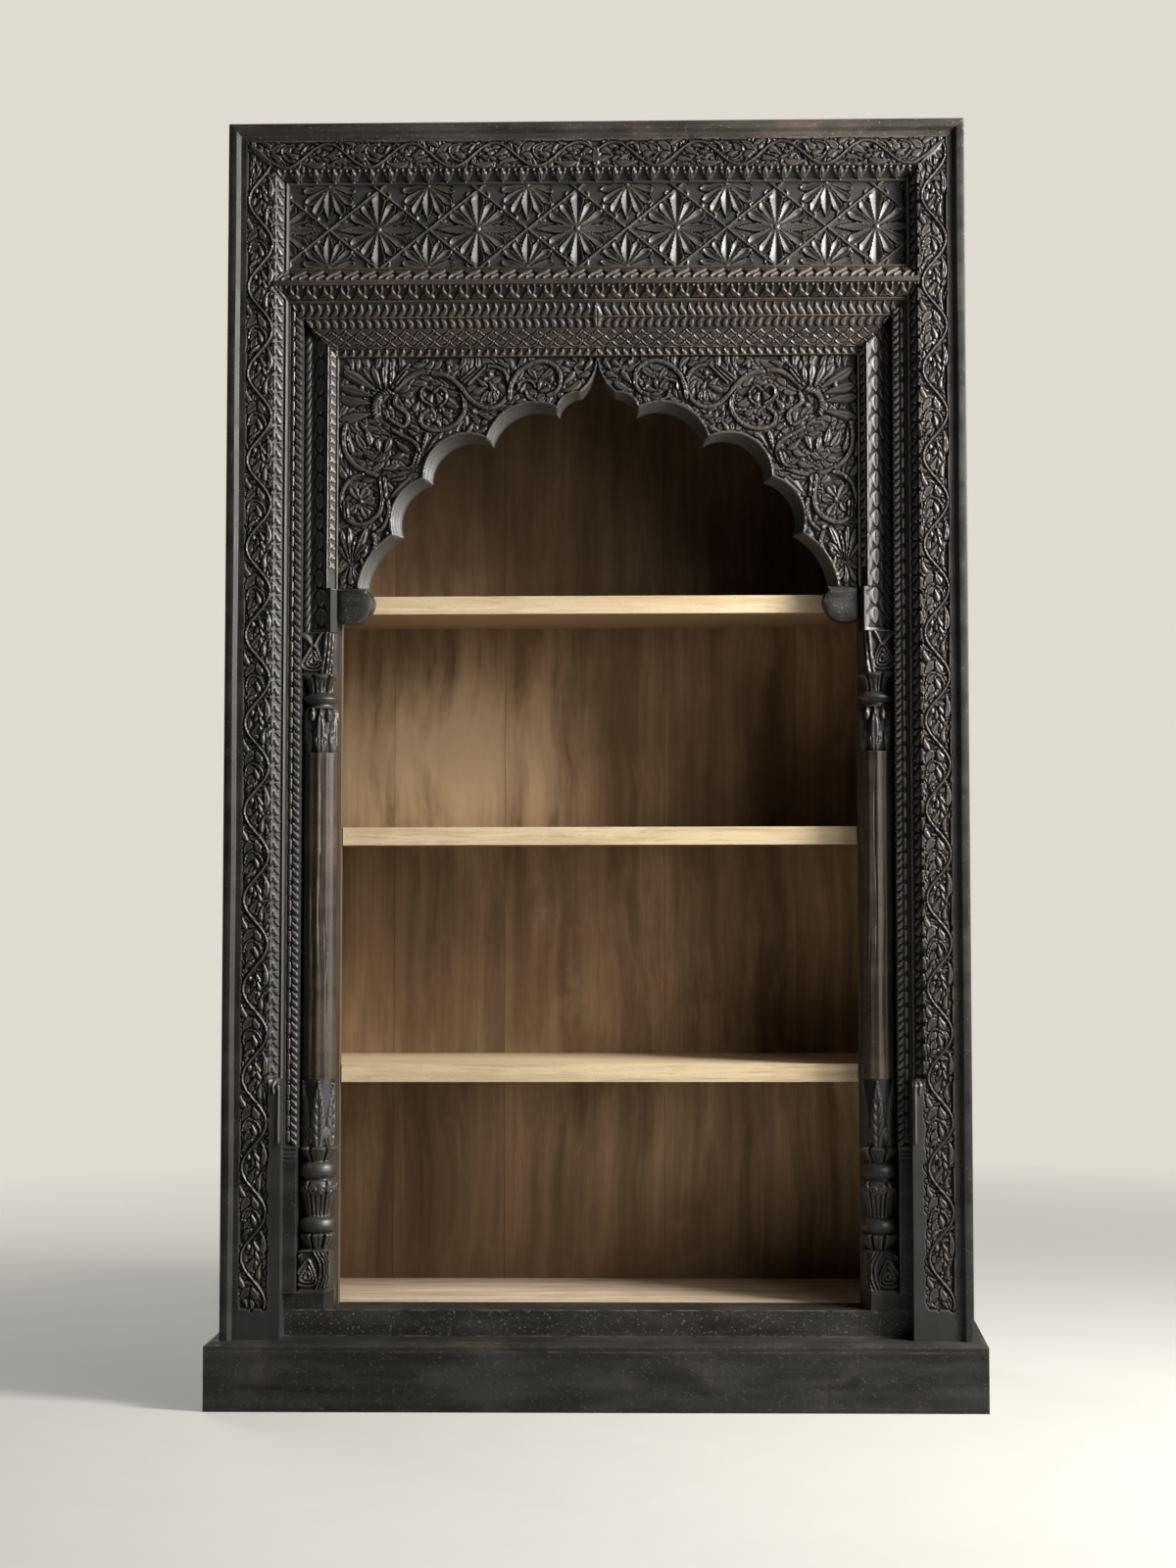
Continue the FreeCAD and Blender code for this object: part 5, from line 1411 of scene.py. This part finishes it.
# Beads: place and radius.
SPANDREL_BEADS = (
    (243, 30, 3.4), (214, 51, 3.0), (197, 44, 2.8), (174, 65, 2.4), (170, 64, 2.6), (165, 66, 2.4),
    (111, 17, 3.2), (116, 22, 2.6), (79, 34, 3.0), (50, 30, 2.2), (47, 33, 2.2), (44, 28, 2.2),
    (32, 6, 3.0), (230, 177, 3.4), (238, 200, 2.6), (215, 149, 2.6), (154, 10, 2.8), (216, 181, 2.4),
    (191, 71, 2.2), (128, 55, 2.4), (243, 148, 3.0),
)
SUNFLOWER_ROPE = ((227, 61), (230, 52), (228, 43), (222, 37), (213, 34))
# How much fuller than drawn the ornament is cut.
LEAF_SWELL, RIB_SWELL, HOLLOW_SWELL, BEAD_SWELL = 1.9, 1.7, 1.6, 1.6
STEM_SWELL, STEM_END_SWELL, STEM_GROOVE = 1.75, 1.35, 0.6
SPANDREL_GROUND = -8.0
# Depths of the two fine grooves along the arch's bevel, and the width of its streaks of wax.
BEVEL_GROOVES, BEVEL_STREAK = (4.5, 9.5), 4.5


def carve_spandrel(side):
    """Scrolling stems with flowers between the lintel, the post and the bevelled cusps of the arch."""
    board = Carving(places(0, POST_IN, PITCH), places(SPRINGING, LINTEL_LOW, PITCH), SPANDREL_GROUND)

    def spot(out, under):
        return (out * DRAWING_UNIT, LINTEL_LOW - under * DRAWING_UNIT)

    def cut_leaf(x0, y0, x1, y1, half, rib=0.8, hollow=0.0, bend=0.0):
        board.leaf(spot(x0, y0), spot(x1, y1), half * LEAF_SWELL, -0.4, bend, "drop",
                   HOLLOW_SWELL * hollow, rib * RIB_SWELL, 1.2)

    stems = [(radius, smooth([spot(*point) for point in line], 5)) for radius, line in SPANDREL_STEMS]
    fill_with_leaflets(board, [line for _, line in stems], ((4, POST_IN), (SPRINGING + 4, LINTEL_LOW - 2)),
                       14.5, (14.5, 18.5), -4.0)
    for leaf in SPANDREL_LEAVES:
        cut_leaf(*leaf)
    for out, under, radius in SPANDREL_BEADS:
        board.bead(spot(out, under), radius * BEAD_SWELL, 0.2)
    for radius, line in stems:
        board.stem(line, radius * STEM_SWELL, 0.8, radius * STEM_END_SWELL, 1.8)
        board.groove(line, radius * STEM_GROOVE, 1.6)
    rope = smooth([spot(*point) for point in SUNFLOWER_ROPE], 6)
    for start, end in zip(rope[::2], rope[2::2]):
        run = end - start
        aside = np.array([-run[1], run[0]]) / np.linalg.norm(run)
        board.leaf(start - 5 * aside, end + 5 * aside, 3.4, 1.0, form="oval")

    edge = arch_line(0.0)
    face_edge = arch_line(ARCH_BEVEL)
    away, near_x, near_z = distance_to(edge, board.along, board.across)
    to_face, _, _ = distance_to(face_edge, board.along, board.across)
    within = under_arch(edge, board.along, board.across)
    on_bevel = under_arch(face_edge, board.along, board.across)
    slope = ARCH_BEVEL * to_face / np.maximum(to_face + away, 1e-6)
    lip = (~on_bevel) & (to_face < 2.6)
    board.height[lip] = np.maximum(board.height[lip], -1.2)
    board.height[on_bevel] = -slope[on_bevel]
    fine = sum(np.exp(-((slope - step) / 1.1) ** 2) for step in BEVEL_GROOVES)
    board.height[on_bevel] -= fine[on_bevel]
    streaks = 0.6 + 0.25 * np.cos(2 * pi * slope / BEVEL_STREAK)
    board.waxed[on_bevel] = streaks[on_bevel]
    board.height[within] = -ARCH_BEVEL
    drawn_in = within | (away < 0.45 * PITCH)
    x = np.where(drawn_in, near_x, board.along)
    z = np.where(drawn_in, near_z, board.across)
    keep = ~within | (away < 1.05 * PITCH)
    carved_board(*named("carved", "spandrel", side), world(side * x, SPANDREL_FACE - board.height, z), board,
                 SPANDREL_GROUND - 2, 0.0, SPANDREL_BACK, upright_carving, keep)


# Outline of a pendant: in from the post and down from the springing of the arch.
PENDANT_OUTLINE = (
    (0, 0), (0, 40), (0, 55), (4, 59), (11, 61.2), (20, 62), (30, 61.8), (39, 59.4), (47, 54.8), (53.6, 47.4),
    (58, 39), (60.8, 33), (62, 27), (61.2, 20), (58.4, 13.6), (54, 8.4), (51.2, 5), (52.6, 0), (26, 0),
)
PENDANT_FACE, PENDANT_IN, PENDANT_DOWN = 60.0, 27, 30
# Rings of a pendant from its edge to the middle of its face: share of the outline, and depth under the face.
PENDANT_RINGS = ((1.0, 13), (0.97, 7), (0.9, 3), (0.78, 1), (0.4, 0))


def round_pendant(side):
    """Plain lobe under the end of the arch, domed a little and eased round its face."""
    name = SIDE_NAMES[side]
    _, (_, back, _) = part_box(f"pendant_{name}")
    inward, down = np.array(PENDANT_OUTLINE, float).T
    sections = [(1.0, back / MM - RIM_FACE)]
    sections += [(scale, PENDANT_FACE + under) for scale, under in PENDANT_RINGS]
    rings = []
    for scale, depth in sections:
        x = POST_IN - PENDANT_IN - scale * (inward - PENDANT_IN)
        z = SPRINGING - PENDANT_DOWN - scale * (down - PENDANT_DOWN)
        rings.append(world(side * x, depth, z))
    points = np.array(rings)
    plain = np.full(points.shape[:2], 0.5)
    lathe(*named("rounded", "pendant", side), points, (plain, plain), worn_sill, 30)


for side in (LEFT, RIGHT):
    plane_rim(side)
    carve_foot_block(side)
    round_pendant(side)
    carve_stile(side)
    carve_bead_strip(side)
    twist_rope(side)
    carve_post(side)
    turn_column(side, "base", PAD_TOP, BASE_TOP, BASE_PROFILE, BASE_BLOCK, carve_base)
    turn_column(side, "capital", CAPITAL_LOW, CAPITAL_TOP, CAPITAL_PROFILE, CAPITAL_BLOCK, carve_capital)
    shape_shaft(side)
    carve_spandrel(side)
plane_top_rim()
carve_top_rail()
carve_frieze()
carve_ridge_rail()
carve_lintel()

# Finishes of the solids that are shown as they are


def dress(material, *nodes):
    for node in nodes:
        slots = frame["nodes"][node].data.materials
        slots.clear()
        slots.append(material)


dress(level_boards, "plinth_front", "plinth_top", "plinth_back", "plinth_side_left", "plinth_side_right")
dress(worn_sill, "sill")
dress(top_edge_wood, "top_board")
dress(upright_boards, "side_panel_left", "side_panel_right", "column_pad_left", "column_pad_right")
dress(liner_wood, "liner_left", "liner_right")
dress(pale_shelves, "lower_shelf", "middle_shelf", "upper_shelf")
dress(floor_wood, "floor_board")
dress(sawn_wood, "plinth_glue_blocks", "floor_bearers", "shelf_cleats", "header_board", "rail_pegs")
dress(upright_sawn_wood, "stile_batten_left", "stile_batten_right")
dress(nail_iron(), "back_nails")
for number, wood in enumerate(plank_woods, 1):
    dress(wood, f"back_plank_{number}")

SLIP_INSET = 0.004
BOX_FACES = [(0, 1, 3, 2), (4, 6, 7, 5), (0, 4, 5, 1), (2, 3, 7, 6), (0, 2, 6, 4), (1, 5, 7, 3)]


def fill_plank_joints():
    """Dark slips let into the joints between the back planks, so that no light shows through them."""
    for number in range(1, len(plank_woods)):
        low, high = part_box(f"back_plank_{number}")
        after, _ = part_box(f"back_plank_{number + 1}")
        corners = [(x, y, z) for x in (high[0], after[0]) for y in (low[1] + SLIP_INSET, high[1] - SLIP_INSET)
                   for z in (low[2], high[2])]
        slip = new_mesh(f"plank_joint_slip_{number}", corners, BOX_FACES, upright_boards)
        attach(slip, "root")


fill_plank_joints()

# Room, light and camera


FLOOR_COLOUR = shade(0.50, 0.493, 0.457)
FLOOR_BOUNCE = shade(0.70, 0.69, 0.64)
FLOOR_GLOW = 0.42
DIM_FLOOR = shade(0.10, 0.10, 0.095)
FLOOR_SOLID, FLOOR_GONE = 1.6, 3.6


def floor_paint():
    """Pale floor that keeps a soft shadow, is dim in reflections and fades into the background far out."""
    material, tree = new_material("pale floor", FLOOR_COLOUR)
    rubbed = use_group(tree, rubbed_patches, size=1.3, share=0.5)
    tint = mixed(tree, between(tree, rubbed["Smears"], 0.3, 0.7), FLOOR_COLOUR, toned(FLOOR_COLOUR, 0.97))
    rays = put(tree, "ShaderNodeLightPath").outputs
    lit = mixed(tree, rays["Is Camera Ray"], FLOOR_BOUNCE, tint)
    surface = tree.nodes["Principled BSDF"].inputs
    surface["Specular IOR Level"].default_value = 0.1
    for label, value in (
            ("Base Color", mixed(tree, rays["Is Glossy Ray"], lit, DIM_FLOOR)),
            ("Roughness", 0.9),
            ("Emission Color", FLOOR_COLOUR),
            ("Emission Strength", times(tree, rays["Is Camera Ray"], FLOOR_GLOW)),
            ("Alpha", between(tree, length(tree, own_place(tree)), FLOOR_SOLID, FLOOR_GONE, 1.0, 0.0))):
        fill(tree, surface[label], value)
    return material


def lay_floor():
    turns = np.linspace(0, 2 * pi, 65)[:-1]
    corners = [(FLOOR_GONE * cos(turn), FLOOR_GONE * sin(turn), 0) for turn in turns]
    sheet = new_mesh("floor", corners, [range(len(corners))], floor_paint())


lay_floor()


def soft_lamp(name, place, aim, width, height, power, colour):
    lamp = bpy.data.lights.new(name, "AREA")
    lamp.shape = "RECTANGLE"
    lamp.size = width
    lamp.size_y = height
    lamp.energy = power
    lamp.color = colour
    holder = bpy.data.objects.new(name, lamp)
    bpy.context.scene.collection.objects.link(holder)
    holder.visible_camera = False
    holder.location = place
    away = np.array(aim, float) - np.array(place, float)
    flat = hypot(away[0], away[1])
    holder.rotation_euler = (np.arctan2(flat, -away[2]), 0, np.arctan2(-away[0], away[1]))


soft_lamp("window", (2.0, -1.0, 2.1), (0.0, -0.15, 1.15), 0.62, 1.1, 132, (1.0, 0.985, 0.96))
soft_lamp("doorway", (2.3, -2.4, 1.5), (0.0, 0.0, 0.9), 1.4, 1.5, 28, (1.0, 0.98, 0.95))
soft_lamp("back window", (-2.2, 2.6, 2.3), (-0.2, 0.2, 0.8), 1.6, 1.6, 45, (1.0, 0.985, 0.96))
soft_lamp("skylight", (0.3, -1.6, 4.4), (0.3, -1.3, 0.0), 3.0, 2.4, 4, (0.97, 0.985, 1.0))

BACKGROUND = shade(0.74, 0.71, 0.64)
DIM_ROOM = shade(0.03, 0.03, 0.03)
PALE_WALL = shade(3.9, 3.87, 3.75)
FILL = shade(0.016, 0.0163, 0.0175)


def light_room():
    """A pale background, a low fill, and for reflections a dim room with a pale wall to the right."""
    room = bpy.data.worlds.new("room light")
    bpy.context.scene.world = room
    room.use_nodes = True
    tree = room.node_tree
    rays = put(tree, "ShaderNodeLightPath").outputs
    place = put(tree, "ShaderNodeTexCoord").outputs["Generated"]
    mirrored = mixed(tree, between(tree, part_of(tree, place, "X"), 0.5, 0.93), DIM_ROOM, PALE_WALL)
    reflected = sum_up(tree, "MAXIMUM", rays["Is Glossy Ray"], rays["Is Transmission Ray"])
    lit = mixed(tree, reflected, FILL, mirrored)
    seen = mixed(tree, rays["Is Camera Ray"], lit, BACKGROUND)
    tree.links.new(seen, tree.nodes["Background"].inputs["Color"])


light_room()

IMAGE_WIDTH, IMAGE_HEIGHT = 1200, 1600
FOCAL_PIXELS = 2661.0
MIDDLE_X, MIDDLE_Y = 692.6, 732.9
CAMERA_PLACE = (0.2367, -4.4857, 0.8737)
CAMERA_RISE, CAMERA_TURN, CAMERA_ROLL = 93.38, 1.32, -0.11
lens = bpy.data.cameras.new("camera")
camera = bpy.data.objects.new("camera", lens)
bpy.context.scene.collection.objects.link(camera)
bpy.context.scene.camera = camera
lens.sensor_fit = "VERTICAL"
lens.sensor_height = 32.0
lens.lens = FOCAL_PIXELS * lens.sensor_height / IMAGE_HEIGHT
lens.shift_x = -(MIDDLE_X - IMAGE_WIDTH / 2) / IMAGE_HEIGHT
lens.shift_y = -(IMAGE_HEIGHT / 2 - MIDDLE_Y) / IMAGE_HEIGHT
camera.location = CAMERA_PLACE
level = Euler((radians(CAMERA_RISE), 0, radians(CAMERA_TURN))).to_matrix()
roll = Euler((0, 0, radians(CAMERA_ROLL))).to_matrix()
camera.rotation_euler = (level @ roll).to_euler()
bpy.context.scene.view_settings.view_transform = "Standard"
